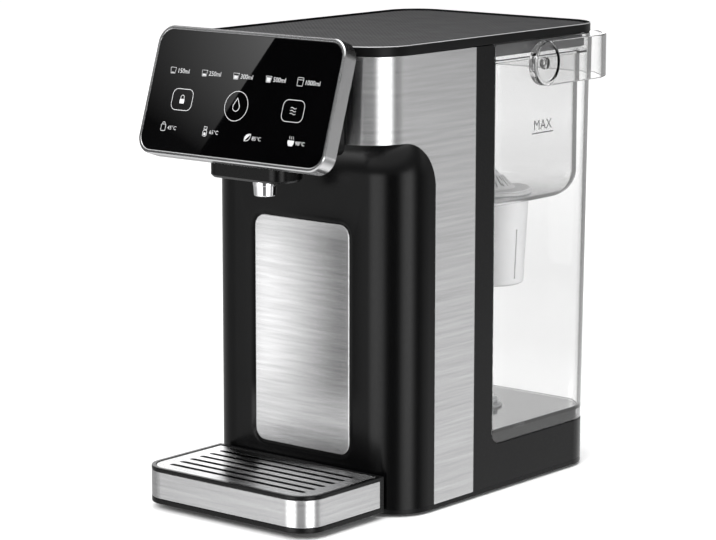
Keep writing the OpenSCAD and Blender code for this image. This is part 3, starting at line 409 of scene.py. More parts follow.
foot_rubber = moulded("foot_rubber", rubber_black, 0.85, 0.2, 500, 0.00008)
dress(foot_rubber, 0.4, "base_feet")
screw_metal = turned_metal("screw_metal", screw_steel, 0.3)
dress(screw_metal, 0.2, "base_screws")

# Rear frame
# One black moulding: upright strips beside the steel, the bulkhead behind the column, and the hollow base
# with the raised platform that the tank stands over. It is screwed to the base pan from below.
strip_plastic = moulded("strip_plastic", case_black, 0.25, 0.12)
dress(strip_plastic, 0.5, "rear_frame")

# Inner frame and top deck
# The carrier that the steel is snapped on to, and the plate that closes the body under the lid.
# Both are plain dark mouldings behind the steel.
inner_grey = (0.03, 0.03, 0.032)
inner_plastic = moulded("inner_plastic", inner_grey, 0.5, 0.35)
dress(inner_plastic, 0, "inner_frame", "top_deck")

# Steel wrap
# One sheet of brushed stainless steel bent round the upper front and down both sides of the body.
# Its lower front is cut out with a big round at each side, and its cut edges are eased to catch the light.
hw = 83.25
band_front = 101.9
strip_front = 3.4
side_front = 44.5
front_r = 30.5
cutout_r = 32
steel_t = 1.0
pan_top = 5.0
band_low = 241.0
body_top = 295.4
side_middle = 24
cutout_steps = 16
bend_steps = 24
steel_colour = (0.58, 0.58, 0.585)
steel_grain = (30, 30, 1000)
steel_rough = 0.25


def fillet(corners, steps, closed=True):
    """Points along a line through corners (x, y, radius), each turned with a round of its radius."""
    line = []
    last = len(corners) - 1
    for i, (x, y, r) in enumerate(corners):
        here = Vector((x, y))
        if r == 0 or (not closed and i in (0, last)):
            line.append(here)
            continue
        before = (Vector(corners[i - 1][:2]) - here).normalized()
        after = (Vector(corners[(i + 1) % len(corners)][:2]) - here).normalized()
        half = before.angle(after) / 2
        centre = here + (before + after).normalized() * (r / sin(half))
        spoke = here + before * (r / tan(half)) - centre
        sweep = pi - 2 * half
        if before.x * after.y - before.y * after.x > 0:
            sweep = -sweep
        for k in range(steps + 1):
            turn = sweep * k / steps
            line.append(centre + Vector((spoke.x * cos(turn) - spoke.y * sin(turn),
                                         spoke.x * sin(turn) + spoke.y * cos(turn))))
    return line


def brushed(name, colour, stretch, rough, turn, contrast, drawn=0.9):
    """Brushed steel: fine scratches along one direction, drawn by noise that is stretched along them."""
    material, tree, base = finish_nodes(name)
    scratches = noise(tree, 1, stretch, 3)
    streaks = noise(tree, 1, [s * 0.4 for s in stretch], 2)
    base.inputs["Metallic"].default_value = 1
    base.inputs["Anisotropic"].default_value = drawn
    base.inputs["Anisotropic Rotation"].default_value = turn
    along = tree.nodes.new("ShaderNodeTangent")
    along.direction_type = "RADIAL"
    along.axis = "Z"
    tree.links.new(along.outputs[0], base.inputs["Tangent"])
    tree.links.new(tint(tree, streaks, colour, contrast), base.inputs["Base Color"])
    tree.links.new(spread(tree, scratches, rough * 0.92, rough * 1.08), base.inputs["Roughness"])
    dent(tree, base, scratches, 0.015, 0.00002)
    return material


def add_piece(name, bm, material, body, slot, *nodes):
    """A mesh in millimetres becomes a piece: shading, finish, body, and the nodes it stands for, which are
    hidden. The slot is not used.
    """
    bmesh.ops.remove_doubles(bm, verts=bm.verts, dist=0.0005)
    bmesh.ops.dissolve_degenerate(bm, edges=bm.edges, dist=0.0002)
    bmesh.ops.recalc_face_normals(bm, faces=bm.faces)
    bmesh.ops.scale(bm, vec=(mm, mm, mm), verts=bm.verts)
    mesh = bpy.data.meshes.new(name)
    bm.to_mesh(mesh)
    bm.free()
    mesh.shade_smooth()
    mesh.set_sharp_from_angle(angle=radians(32))
    mesh.materials.append(material)
    part = bpy.data.objects.new(name, mesh)
    scene.collection.objects.link(part)
    part.modifiers.new("even", "WEIGHTED_NORMAL").keep_sharp = True
    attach(part, body)
    if nodes:
        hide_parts(*nodes)
    return part


def round_edges(part, width):
    """Rounds the sharp edges of a new piece, before its normals are evened."""
    round_over(part, width)
    part.modifiers.move(len(part.modifiers) - 1, 0)


def steel_columns():
    """Places on the plan of the sheet, right to left, each with its heights from the top down."""
    arc_low = band_low - cutout_r
    centre_y = -side_front - cutout_r
    bend_y = front_r - band_front
    line = []
    for k in range(1, cutout_steps + 1):
        y = centre_y + cutout_r * cos(pi / 2 * k / cutout_steps)
        if y > bend_y:
            line.append((hw, y))
    for k in range(bend_steps + 1):
        turn = pi / 2 * k / bend_steps
        line.append((hw - front_r + front_r * cos(turn), bend_y - front_r * sin(turn)))
    side_heights = (body_top, band_low, arc_low, pan_top)
    columns = [(hw, y, side_heights) for y in (-strip_front, -side_middle, -side_front)]
    for x, y in line:
        arc = (cutout_r ** 2 - (y - centre_y) ** 2) ** 0.5 if y > centre_y else cutout_r
        columns.append((x, y, (body_top, band_low, arc_low + arc)))
    return columns + [(-x, y, heights) for x, y, heights in reversed(columns)]


bm = bmesh.new()
rows = [[bm.verts.new((x, y, z)) for z in heights] for x, y, heights in steel_columns()]
for a, b in zip(rows, rows[1:]):
    for i in range(min(len(a), len(b)) - 1):
        bm.faces.new((a[i], b[i], b[i + 1], a[i + 1]))
bmesh.ops.remove_doubles(bm, verts=bm.verts, dist=0.001)
bmesh.ops.solidify(bm, geom=bm.faces[:], thickness=steel_t)
wrap_steel = brushed("wrap_steel", steel_colour, steel_grain, steel_rough, turn=0.25, contrast=0.08)
wrap = add_piece("steel_sheet", bm, wrap_steel, "root", "brushed_steel", "steel_wrap")
round_edges(wrap, 0.3)

# Column
# The black front of the body, moulded in one piece: it rises straight from the base pan and sweeps forward
# in a cove under the steel band. A shallow recess takes the backsplash, two slots take the tray's tongues.
column_front = 78.2
column_r = 28
column_t = 4
cove_reach = band_front - column_front
cove_low = band_low - cove_reach
splash_hw = 39.7
splash_low = 36
splash_top = 185.6
splash_r = 8
splash_d = 1.8
splash_gap = 0.4
recess_lip = 4.5
lip_d = 1.3
tongue_x = 30
slot_hw = 8.4
slot_low = 9.6
slot_top = 14.4
slot_d = 8
edge_gap = 0.2
cove_steps = 18
corner_steps = 12
column_black = (0.001, 0.001, 0.0011)


def loft(rings, caps=True):
    """A skin over closed rings of points, one after another, with a face over each end if wanted."""
    bm = bmesh.new()
    rows = [[bm.verts.new(p) for p in ring] for ring in rings]
    count = len(rings[0])
    for a, b in zip(rows, rows[1:]):
        for i in range(count):
            j = (i + 1) % count
            bm.faces.new((a[i], a[j], b[j], b[i]))
    if caps:
        bm.faces.new(rows[0][::-1])
        bm.faces.new(rows[-1])
    return bm


def prism(outline, low, high, matrix=Matrix.Identity(4)):
    """A straight block on an outline, moved by a matrix."""
    bm = loft([[(x, y, z) for x, y in outline] for z in (low, high)])
    bmesh.ops.transform(bm, matrix=matrix, verts=bm.verts)
    return bm


def join(*meshes):
    """Several meshes as one, with no change to any of them."""
    whole = bmesh.new()
    for part in meshes:
        held = bpy.data.meshes.new("held")
        part.to_mesh(held)
        part.free()
        whole.from_mesh(held)
        bpy.data.meshes.remove(held)
    return whole


def carve(blank, tool, operation="DIFFERENCE"):
    """One mesh cut out of another, or fused to it."""
    held = []
    for bm in (blank, tool):
        bmesh.ops.remove_doubles(bm, verts=bm.verts, dist=0.0005)
        bmesh.ops.recalc_face_normals(bm, faces=bm.faces)
        mesh = bpy.data.meshes.new("blank")
        bm.to_mesh(mesh)
        bm.free()
        held.append(bpy.data.objects.new("blank", mesh))
        scene.collection.objects.link(held[-1])
    cut = held[0].modifiers.new("cut", "BOOLEAN")
    cut.object = held[1]
    cut.operation = operation
    cut.solver = "EXACT"
    bpy.context.view_layer.update()
    shaped = held[0].evaluated_get(bpy.context.evaluated_depsgraph_get())
    result = bmesh.new()
    result.from_mesh(shaped.to_mesh())
    shaped.to_mesh_clear()
    for blank_object in held:
        mesh = blank_object.data
        bpy.data.objects.remove(blank_object)
        bpy.data.meshes.remove(mesh)
    return result


def rect(half_w, low, high, r, steps=8):
    """A rectangle with round corners, from low to high."""
    return fillet([(-half_w, low, r), (half_w, low, r), (half_w, high, r), (-half_w, high, r)], steps)


def column_level(advance, share, z):
    """One level of the column wall, as a closed ring: the outer face, then the inner face back again."""
    ring = []
    for inset in (0, column_t):
        half = hw - inset
        y = -column_front - advance + inset
        r = column_r + (front_r - column_r) * share - inset
        corners = [(-half, -side_front, 0), (-half, y, r), (half, y, r), (half, -side_front, 0)]
        line = fillet(corners, 24, False)
        ring.extend(line if inset == 0 else line[::-1])
    return [(p.x, p.y, z) for p in ring]


wall_levels = [column_level(0, 0, z) for z in (pan_top, cove_low - 2)]
cove = []
for k in range(cove_steps + 1):
    turn = pi / 2 * k / cove_steps
    height = cove_low + cove_reach * sin(turn)
    cove.append(column_level(cove_reach * (1 - cos(turn)), k / cove_steps, height))

# The recess for the backsplash, from its floor out past the face of the column
recess = []
for grow, depth in ((splash_gap, splash_d), (splash_gap, lip_d), (recess_lip, -edge_gap)):
    outline = rect(splash_hw + grow, splash_low - grow, splash_top + grow, splash_r + grow)
    recess.append([(p.x, depth - column_front, p.y) for p in outline])
cutter = loft(recess)

# The slots for the tongues, on a drawing that is stood up to face the front
facing = Matrix.Rotation(pi / 2, 4, "X")
slot = rect(slot_hw, slot_low, slot_top, 0.5)
slots = []
for s in (-1, 1):
    beside = Matrix.Translation((s * tongue_x, 0, 0))
    slots.append(prism(slot, column_front - slot_d, column_front + 1, beside @ facing))

# The corners that the steel covers, on a drawing that is stood up to face the side
corner_y = -side_front - cutout_r
corner_z = band_low - cutout_r
corner_r = cutout_r + edge_gap
corner = [(-side_front + 1, corner_z - edge_gap)]
for k in range(corner_steps + 1):
    turn = pi / 2 * k / corner_steps
    corner.append((corner_y + corner_r * cos(turn), corner_z + corner_r * sin(turn)))
corner += [(corner_y, band_low + 2), (-side_front + 1, band_low + 2)]
across = Matrix(((0, 0, 1, 0), (1, 0, 0, 0), (0, 1, 0, 0), (0, 0, 0, 1)))
corners = [prism(corner, s * hw - 6, s * hw + 6, across) for s in (-1, 1)]
column = carve(loft(wall_levels + cove), join(cutter, *slots, *corners))
column_plastic = moulded("column_plastic", column_black, 0.22, 0.13, 700, 0.00002)
column_part = add_piece("column_shell", column, column_plastic, "root", "column_black", "front_column")
round_edges(column_part, 0.5)

# Backsplash
# A flat plate of brushed steel with round corners, glued into the recess of the column under the spout.
# Its edge is turned a little, so it shows a bright line all round.
splash_t = 1.0
plate_steel = (0.62, 0.62, 0.625)


def edge_round(half_w, low, high, r, path):
    """Rings of a round-cornered rectangle, each drawn in by an inset and set at a height."""
    return [[(p.x, p.y, z) for p in rect(half_w - d, low + d, high - d, r - d)] for d, z in path]


splash_back = column_front - splash_d
splash_out = splash_back + splash_t
section = fillet([(0.2, splash_back, 0), (0, splash_back + 0.2, 0), (0, splash_out, 0.45),
                  (0.6, splash_out, 0)], 4, False)
splash = loft(edge_round(splash_hw, splash_low, splash_top, splash_r, section))
bmesh.ops.transform(splash, matrix=facing, verts=splash.verts)
splash_steel = brushed("splash_steel", plate_steel, (60, 60, 1100), steel_rough, turn=0.25, contrast=0.1)
add_piece("backsplash_plate", splash, splash_steel, "root", "brushed_steel", "backsplash")

# Water works
# Inside the casing: the flow heater with caps, bracket, cut-outs and sensor, the pump, the silicone hoses,
# the power board on its posts, the control board and the touch pads, the wires, the mains gland and the
# spring of the tank valve. All are bought in, and screwed, clipped or pressed into place.
heater_metal = turned_metal("heater_metal", (0.5, 0.49, 0.47), 0.35)
dress(heater_metal, 0, "heater_tube", "heater_bracket", "valve_spring")
cap_plastic = moulded("cap_plastic", (0.04, 0.04, 0.043), 0.5, 0.4)
dress(cap_plastic, 0, "heater_caps", "pump_body", "pump_cover")
works_white = moulded("works_white", (0.72, 0.71, 0.68), 0.45, 0.4)
dress(works_white, 0, "thermal_cutouts", "pump_impeller")
mount_rubber = moulded("mount_rubber", (0.02, 0.02, 0.021), 0.8, 0.2, 500, 0.00008)
dress(mount_rubber, 0, "pump_mount")
brass_metal = turned_metal("brass_metal", (0.62, 0.45, 0.16), 0.3)
dress(brass_metal, 0, "temperature_sensor", "board_posts", "touch_pads")
hose_silicone = moulded("hose_silicone", (0.62, 0.63, 0.63), 0.5, 0.35)
dress(hose_silicone, 0, "inlet_hose", "feed_hose", "outlet_hose")
board_lacquer = moulded("board_lacquer", (0.012, 0.11, 0.04), 0.35, 0.5, 260, 0.0001)
dress(board_lacquer, 0, "power_board", "control_board")
wire_jacket = moulded("wire_jacket", (0.28, 0.03, 0.025), 0.5, 0.4)
dress(wire_jacket, 0, "wire_loom")
gland_plastic = moulded("gland_plastic", (0.012, 0.012, 0.013), 0.45, 0.3)
dress(gland_plastic, 0.4, "mains_gland")

# Neck and back of the head
# A hollow black arm behind the touch panel, screwed to the band, and the cover that closes the panel.
# Both are the same black plastic as the column.
neck_plastic = moulded("neck_plastic", column_black, 0.36, 0.15)
dress(neck_plastic, 0.8, "head_neck", "head_back")

# Bezel
# A frame of brushed steel round the touch panel, drawn from one strip, with a fine chamfer along its front.
# It is pressed over the back cover, and the glass sits just inside it.
head_hw = 77.25
head_hh = 41.55
head_r = 11.5
head_d = 11.4
bezel_side = 2.0
bezel_top = 2.5
chamfer_w = 0.55
chamfer_d = 0.8
bezel_grey = (0.4, 0.4, 0.404)
on_head = Matrix.Translation((0, -head_y, head_z)) @ Matrix.Rotation(radians(90 - head_tilt), 4, "X")


def head_ring(inset, w):
    """The outline of the head, drawn in from its edge, at a height out of its face."""
    share = inset / bezel_side
    half_h = head_hh - bezel_top * share
    outline = rect(head_hw - inset, -half_h, half_h, head_r - inset, 12)
    return [(p.x, p.y, w) for p in outline]


section = fillet([(0, -head_d, 0.4), (0, -chamfer_d, 0.25), (chamfer_w, 0, 0.2), (bezel_side, 0, 0.45),
                  (bezel_side, -head_d, 0.2)], 3)
bezel = loft([head_ring(p.x, p.y) for p in section + section[:1]], False)
bmesh.ops.transform(bezel, matrix=on_head, verts=bezel.verts)
bezel_steel = brushed("bezel_steel", bezel_grey, (6, 400, 400), 0.24, turn=0.25, contrast=0.02, drawn=0)
add_piece("bezel_frame", bezel, bezel_steel, "root", "brushed_steel", "head_bezel")

# Touch glass
# A black glass plate, flush in the bezel, with the touch pads glued behind it. There is no travel in it.
# The symbols are printed on it in white.
glass_t = 3.0
glass_set = 0.3
glass_gap = 0.05
glass_black = (0.0008, 0.0008, 0.0009)


def black_glass(name):
    """Black glass with faint unevenness in its polish."""
    material, tree, base = finish_nodes(name)
    polish = noise(tree, 60)
    tree.links.new(tint(tree, polish, glass_black, 0.1), base.inputs["Base Color"])
    tree.links.new(spread(tree, polish, 0.008, 0.016), base.inputs["Roughness"])
    base.inputs["Specular IOR Level"].default_value = 0.5
    return material


glass_edge = bezel_side + glass_gap
glass_back = -glass_set - glass_t
section = fillet([(glass_edge + 0.2, glass_back, 0), (glass_edge, glass_back + 0.2, 0),
                  (glass_edge, -glass_set, 0.15), (glass_edge + 0.25, -glass_set, 0)], 3, False)
glass = loft([head_ring(p.x, p.y) for p in section])
bmesh.ops.transform(glass, matrix=on_head, verts=glass.verts)
add_piece("glass_plate", glass, black_glass("panel_black_glass"), "root", "panel_glass", "touch_glass")

# Panel print
# White symbols and figures on the glass: five amounts, the lock, pour and warm keys, and four temperatures.
# Screen printed, so each mark is a thin flat layer. Places are from the middle of the glass.
print_t = 0.05
line_w = 0.38
volume_u = (-59.3, -32.6, -6.1, 20.8, 46.4)
volume_v = 13.0
volume_text = ("150ml", "250ml", "300ml", "500ml", "1000ml")
warm_u = (-58.0, -22.4, 13.2, 48.5)
warm_v = -24.4
warm_text = ("45°C", "65°C", "85°C", "98°C")
volume_text_h = 3.0
warm_text_h = 2.4
text_gap = 3.6
cap_share = 0.7
letter_thinning = -0.012
lock_key = (-46.8, -5.4)
pour_key = (-1, -6)
warm_key = (45.3, -5.4)
marks = bmesh.new()


def stroke(points, width=line_w, closed=False):
    """A line of even width through points, laid flat on the panel."""
    points = [Vector(p) for p in points]
    count = len(points)
    sides = []
    for i, here in enumerate(points):
        before = points[i - 1] if closed or i else None
        after = points[(i + 1) % count] if closed or i < count - 1 else None
        run_in = (here - before).normalized() if before else (after - here).normalized()
        run_out = (after - here).normalized() if after else run_in
        middle = (run_in + run_out).normalized()
        across_line = Vector((-middle.y, middle.x)) * (width / 2 / max(0.4, middle.dot(run_in)))
        sides.append([marks.verts.new((*side, 0)) for side in (here + across_line, here - across_line)])
    pairs = list(zip(sides, sides[1:])) + ([(sides[-1], sides[0])] if closed else [])
    for (a, b), (c, d) in pairs:
        marks.faces.new((a, b, d, c))


def patch(points):
    """A filled shape, laid flat on the panel."""
    marks.faces.new([marks.verts.new((x, y, 0)) for x, y in points])


def moved(points, u, v, size=1.0):
    """Points at a place on the panel."""
    return [(u + x * size, v + y * size) for x, y in points]


def circle(r, start, end, steps):
    """Points on a circle, from one angle to another."""
    turns = [radians(start + (end - start) * k / steps) for k in range(steps + 1)]
    return [(r * cos(t), r * sin(t)) for t in turns]


def lettering(words, u, v, height, target, align, squeeze=1.0):
    """Words in the plain built-in typeface, as flat faces added to a mesh."""
    curve = bpy.data.curves.new("words", "FONT")
    curve.body = words
    curve.size = height / cap_share
    curve.align_x = align
    curve.resolution_u = 3
    curve.offset = letter_thinning
    held = bpy.data.objects.new("words", curve)
    scene.collection.objects.link(held)
    bpy.context.view_layer.update()
    shaped = held.evaluated_get(bpy.context.evaluated_depsgraph_get())
    mesh = shaped.to_mesh()
    mesh.transform(Matrix.Translation((u, v, 0)) @ Matrix.Diagonal((squeeze, 1, 1, 1)))
    target.from_mesh(mesh)
    shaped.to_mesh_clear()
    bpy.data.objects.remove(held)
    bpy.data.curves.remove(curve)


# The amounts: four tumblers, each fuller than the last, and a jug
tumbler = [(-2.3, 1.6), (-1.7, -2.2), (1.7, -2.2), (2.3, 1.6)]
jug = [(-2.1, -2.6), (2.1, -2.6), (2.4, 1.8), (2.0, 2.6), (-2.0, 2.6), (-2.4, 1.8)]
for i, u in enumerate(volume_u):
    lettering(volume_text[i], u + text_gap, volume_v - 1.6, volume_text_h, marks, "LEFT", 0.98)
    if i == 4:
        stroke(moved(jug, u, volume_v), 0.28, True)
        stroke(moved([(-2.2, 1.2), (2.2, 1.2)], u, volume_v), 0.26)
        continue
    stroke(moved(tumbler, u, volume_v), 0.24, True)
    level_v = -2.2 + 0.75 * (i + 1)
    half = 1.7 + 0.6 * (level_v + 2.2) / 3.8 - 0.45
    patch(moved([(-1.35, -1.85), (1.35, -1.85), (half, level_v), (-half, level_v)], u, volume_v))

# The keys: a lock and three waves, each in a frame, and a drop in a circle between them
for key in (lock_key, warm_key):
    stroke(moved(rect(8.6, -6.8, 6.8, 4.0), *key), closed=True)
stroke(moved(circle(9.4, 0, 352.5, 47), *pour_key), closed=True)
patch(moved(rect(1.9, -2.5, 0.4, 0.4, 4), *lock_key))
shackle = [(-1.4, 0.3), (-1.4, 1.5)] + [(-x, 1.5 + y) for x, y in circle(1.4, 0, 180, 12)] + [(1.4, 0.3)]
stroke(moved(shackle, *lock_key), 0.34)
drop = [(0, 4.4)] + [(2.7 * cos(radians(t)), 2.7 * sin(radians(t)) - 1.2) for t in range(30, -211, -12)]
stroke(moved(drop, pour_key[0], pour_key[1] + 0.7), 0.45, True)
for row in (-1.8, 0, 1.8):
    wave = [(-2.3 + 4.6 * k / 16, row + 0.42 * sin(2 * pi * k / 16)) for k in range(17)]
    stroke(moved(wave, *warm_key), 0.36)

# The temperatures: a bottle, a jar, a leaf and a steaming bowl
for i, u in enumerate(warm_u):
    lettering(warm_text[i], u + text_gap, warm_v - (0.7 if i < 2 else 1.7), warm_text_h, marks, "LEFT", 1.06)
bottle_u, jar_u, leaf_u, bowl_u = warm_u
bottle_v = warm_v + 0.75
stroke(moved(rect(1.85, -2.6, 1.6, 0.6, 4), bottle_u, bottle_v), closed=True)
stroke(moved([(-1.25, 1.9), (-0.8, 2.8), (0.35, 3.1), (1.25, 1.9)], bottle_u, bottle_v), 0.34)
jar_v = warm_v + 0.5
stroke(moved(rect(1.6, -3.0, 0.9, 1.2, 4), jar_u, jar_v), closed=True)
patch(moved(rect(1.0, -2.4, -0.6, 0.7, 4), jar_u, jar_v))
stroke(moved([(-1.2, 1.4), (-1.2, 3.0), (1.2, 3.0), (1.2, 1.4)], jar_u, jar_v), 0.34, True)
leaf = [(-2.4, -2.2), (-2.5, 0.2), (-1.2, 2.0), (1.0, 2.7), (2.6, 2.7), (2.4, 0.5), (1.4, -1.4),
        (-0.5, -2.2)]
leaf_v = warm_v - 0.5
leaf_size = 0.9
stroke(moved(leaf, leaf_u, leaf_v, leaf_size), closed=True)
patch(moved([(-2.2, -2.0), (2.2, 2.4), (-1.0, 1.8), (-2.2, 0.2)], leaf_u, leaf_v, leaf_size))
bowl = [(-2.6, 0.9), (-2.5, -0.9), (-1.5, -2.6), (1.5, -2.6), (2.5, -0.9), (2.6, 0.9)]
patch(moved(bowl, bowl_u, warm_v))
for x in (-1.5, 0, 1.5):
    stroke(moved([(x, 1.4), (x + 0.3, 2.1), (x - 0.25, 2.8), (x + 0.1, 3.5)], bowl_u, warm_v), 0.24)
bmesh.ops.solidify(marks, geom=marks.faces[:], thickness=print_t)
lowest = min(v.co.z for v in marks.verts)
bmesh.ops.translate(marks, vec=(0, 0, -glass_set - lowest + 0.005), verts=marks.verts)
bmesh.ops.transform(marks, matrix=on_head, verts=marks.verts)
print_white = moulded("print_white", (0.45, 0.45, 0.455), 0.6, 0.2)
add_piece("panel_print", marks, print_white, "root", "panel_glass")

# Spout housing
# The black nose under the head that hides the outlet hose, clipped to the neck from below.
# Its lower edge is bevelled all round.
spout_hw = 31
spout_front = 134
spout_rear = 103.4
spout_low = 216.5
spout_top = 234
spout_r = 9
spout_rear_r = 13.5
spout_bevel_w = 1.6
spout_bevel_h = 1.7


def plan(half, y0, y1, front, rear, inset=0, steps=10):
    """A piece seen from above, drawn in by an inset, with its own round at the front and rear corners."""
    h = half - inset
    front = max(front - inset, 0.3)
    rear = max(rear - inset, 0.3)
    return fillet([(-h, y0 + inset, front), (h, y0 + inset, front),
                   (h, y1 - inset, rear), (-h, y1 - inset, rear)], steps)


def shell(half, y0, y1, front, rear, path, steps=10):
    """Rings of a plan, each drawn in by an inset and set at a height."""
    return [[(p.x, p.y, z) for p in plan(half, y0, y1, front, rear, d, steps)] for d, z in path]


section = fillet([(spout_bevel_w + 1, spout_low, 0), (spout_bevel_w, spout_low, 0.4),
                  (0, spout_low + spout_bevel_h, 0.8), (0, spout_top, 0)], 4, False)
spout = loft(shell(spout_hw, -spout_front, -spout_rear, spout_r, spout_rear_r, section))
spout_plastic = moulded("spout_plastic", column_black, 0.28, 0.15)
add_piece("spout_nose", spout, spout_plastic, "root", "column_black", "spout_housing")

# Nozzle
# A turned and chromed sleeve under the spout housing, a little narrower at its mouth.
# It is pushed up into the housing, and the water way runs through it.
nozzle_y = 112
nozzle_low = 205
nozzle_r = 7.8
mouth_r = 7.1
water_way_r = 3.0
step_r = 7.5
step_low = 211.6
step_top = 211.8


def lathe(profile, centre=(0, 0), steps=64, caps=True):
    """A profile (radius, height) turned round an upright axis."""
    turns = [2 * pi * k / steps for k in range(steps)]
    rings = [[(centre[0] + r * cos(t), centre[1] + r * sin(t), z) for t in turns] for r, z in profile]
    return loft(rings, caps)


def chromed(name):
    """Bright chrome with a trace of haze."""
    material, tree, base = finish_nodes(name)
    haze = noise(tree, 250)
    base.inputs["Metallic"].default_value = 1
    tree.links.new(tint(tree, haze, (0.74, 0.74, 0.75), 0.02), base.inputs["Base Color"])
    tree.links.new(spread(tree, haze, 0.07, 0.12), base.inputs["Roughness"])
    return material


profile = fillet([(water_way_r, spout_low - 0.4, 0), (water_way_r, nozzle_low, 0.5),
                  (mouth_r, nozzle_low, 0.7), (step_r, step_low, 0.2), (nozzle_r, step_top, 0.2),
                  (nozzle_r, spout_low + 0.2, 0)], 4, False)
nozzle = lathe(profile, (0, -nozzle_y))
add_piece("nozzle_sleeve", nozzle, chromed("nozzle_chrome"), "root", "chrome", "nozzle")

# Tank dock
# The socket in the platform that the tank valve drops into, with its red rubber lip.
# It is welded into the rear frame and piped to the pump.
dock_plastic = moulded("dock_plastic", (0.02, 0.02, 0.021), 0.45, 0.35)
dress(dock_plastic, 0.2, "dock_socket")
lip_rubber = moulded("lip_rubber", (0.35, 0.06, 0.035), 0.6, 0.3, 500, 0.00006)
dress(lip_rubber, 0.2, "dock_seal")

# Water tank
# The clear box that lifts off the back of the dispenser, injection moulded with a leaning back and a skirt
# that drops over the platform. Its lower front corners are rounded, and two ledges carry the reservoir.
tank_hw = 82.95
tank_front = 16.7
tank_low = 32.7
tank_top = body_top
tank_rear = 139.2
tank_t = 2.5
tank_rear_r = 25.5
tank_lean = 4.6
tank_slope = tank_lean / (tank_top - tank_low)
floor_low = 39.3
floor_top = 41.1
window_r = 7.6
window_steps = 8
ledge_hw = 20
ledge_d = 3.85
ledge_low = 280.4
ledge_top = 282.4
clear_tint = (0.975, 0.975, 0.975)


def clear_plastic(name, colour, rough, bend=1.45):
    """Clear moulded plastic: a trace of colour, and a faint ripple in its polish."""
    material, tree, base = finish_nodes(name)
    ripple = noise(tree, 40)
    tree.links.new(tint(tree, ripple, colour, 0.004), base.inputs["Base Color"])
    tree.links.new(spread(tree, ripple, rough * 0.7, rough * 1.3), base.inputs["Roughness"])
    base.inputs["Transmission Weight"].default_value = 1
    base.inputs["IOR"].default_value = bend
    soak = tree.nodes.new("ShaderNodeVolumeAbsorption")
    soak.inputs["Color"].default_value = (0.5, 0.5, 0.5, 1)
    soak.inputs["Density"].default_value = 20
    tree.links.new(soak.outputs[0], tree.nodes["Material Output"].inputs["Volume"])
    return material


def let_light_in(part):
    """Clear pieces throw no hard shadow, so the lamps reach what is behind them."""
    part.visible_shadow = False


section = fillet([(tank_t, floor_low, 0), (tank_t, tank_low, 0.3), (0, tank_low, 0.6), (0, tank_top, 0.6),
                  (tank_t, tank_top, 0.6), (tank_t, floor_top, 1), (tank_t + 8, floor_top, 0)], 5, False)
rings = []
for d, z in section:
    rear = tank_rear - (tank_top - z) * tank_slope
    rings.append([(p.x, p.y, z) for p in plan(tank_hw, tank_front, rear, 1.0, tank_rear_r, d, 14)])
tank = loft(rings)

# Cut from it: the rounds at the lower front corners, and the opening at the front of the skirt
corner = [(tank_front - 3, tank_low - 3), (tank_front + window_r, tank_low - 3)]
for k in range(window_steps + 1):
    turn = pi / 2 * k / window_steps
    corner.append((tank_front + window_r * (1 - sin(turn)), tank_low + window_r * (1 - cos(turn))))
corner.append((tank_front - 3, tank_low + window_r))
tank = carve(tank, prism(corner, -hw, hw, across))
skirt_mouth = rect(tank_hw - tank_t - 0.4, tank_front - 3, tank_front + 3.2, 0.2, 2)
tank = carve(tank, prism(skirt_mouth, tank_low - 5, floor_low - 0.1))

# Fused to it: a ledge inside the front wall and one inside the back wall
ledges = []
for y in (tank_front + tank_t / 2, tank_rear - tank_t / 2 - ledge_d):
    ledges.append(prism(rect(ledge_hw, y, y + ledge_d, 0.2, 2), ledge_low, ledge_top))
tank = carve(tank, join(*ledges), "UNION")
tank_clear = clear_plastic("tank_clear", clear_tint, 0.015)
let_light_in(add_piece("tank_box", tank, tank_clear, "tank", "clear_plastic", "tank_shell"))
pin_clear = clear_plastic("pin_clear", clear_tint, 0.02, 1.1)
dress(pin_clear, 0.2, "pivot_pins")
let_light_in(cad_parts["pivot_pins"])

# Tank valve
# A white sprung valve pressed through the tank floor, which opens on the pin of the dock.
# Its milky housing shows dimly through the tank, and its red plunger slides inside.


def milky(name, colour, through):
    """White plastic that lets a share of the light through."""
    material, tree, base = finish_nodes(name)
    clouds = noise(tree, 60)
    tree.links.new(tint(tree, clouds, colour, 0.03), base.inputs["Base Color"])
    tree.links.new(spread(tree, clouds, 0.35, 0.45), base.inputs["Roughness"])
    base.inputs["Transmission Weight"].default_value = through
    base.inputs["Specular IOR Level"].default_value = 0.4
    dent(tree, base, noise(tree, 800), 0.1, 0.00003)
    return material


valve_white = milky("valve_white", (0.75, 0.76, 0.77), 0.8)
dress(valve_white, 0.2, "valve_housing")
plunger_red = moulded("plunger_red", (0.4, 0.07, 0.04), 0.5, 0.3)
dress(plunger_red, 0, "valve_plunger")

# Handle
# A clear bail of one flat band bent round the back of the tank, moulded with a ringed hub at each end.
# The hubs turn on two pins in the sides of the tank.
hub_y = 66.7
hub_z = 279.6
handle_hw = 89.25
handle_rear = 155.2
handle_r = 34
band_t = 3.0
hub_r = 14.5
hub_ring = 2.4
hub_set = 1.8
hub_bore_r = 4.06
hub_gap = 0.4
band_round = 0.5
band_low_z = hub_z - hub_r
band_high_z = hub_z + hub_r
section = fillet([(band_round, band_low_z, 0), (0, band_low_z + band_round, 0.3),
                  (0, band_high_z - band_round, 0.3), (band_round, band_high_z, 0)], 3, False)
rings = []
for d, z in section:
    outer = fillet([(handle_hw - d, hub_y, 0), (handle_hw - d, handle_rear - d, handle_r - d),
                    (d - handle_hw, handle_rear - d, handle_r - d), (d - handle_hw, hub_y, 0)], 20, False)
    half = handle_hw - band_t + d
    rear = handle_rear - band_t + d
    inner_r = handle_r - band_t + d
    inner = fillet([(-half, hub_y, 0), (-half, rear, inner_r), (half, rear, inner_r),
                    (half, hub_y, 0)], 20, False)
    rings.append([(p.x, p.y, z) for p in outer + inner])
handle = loft(rings)

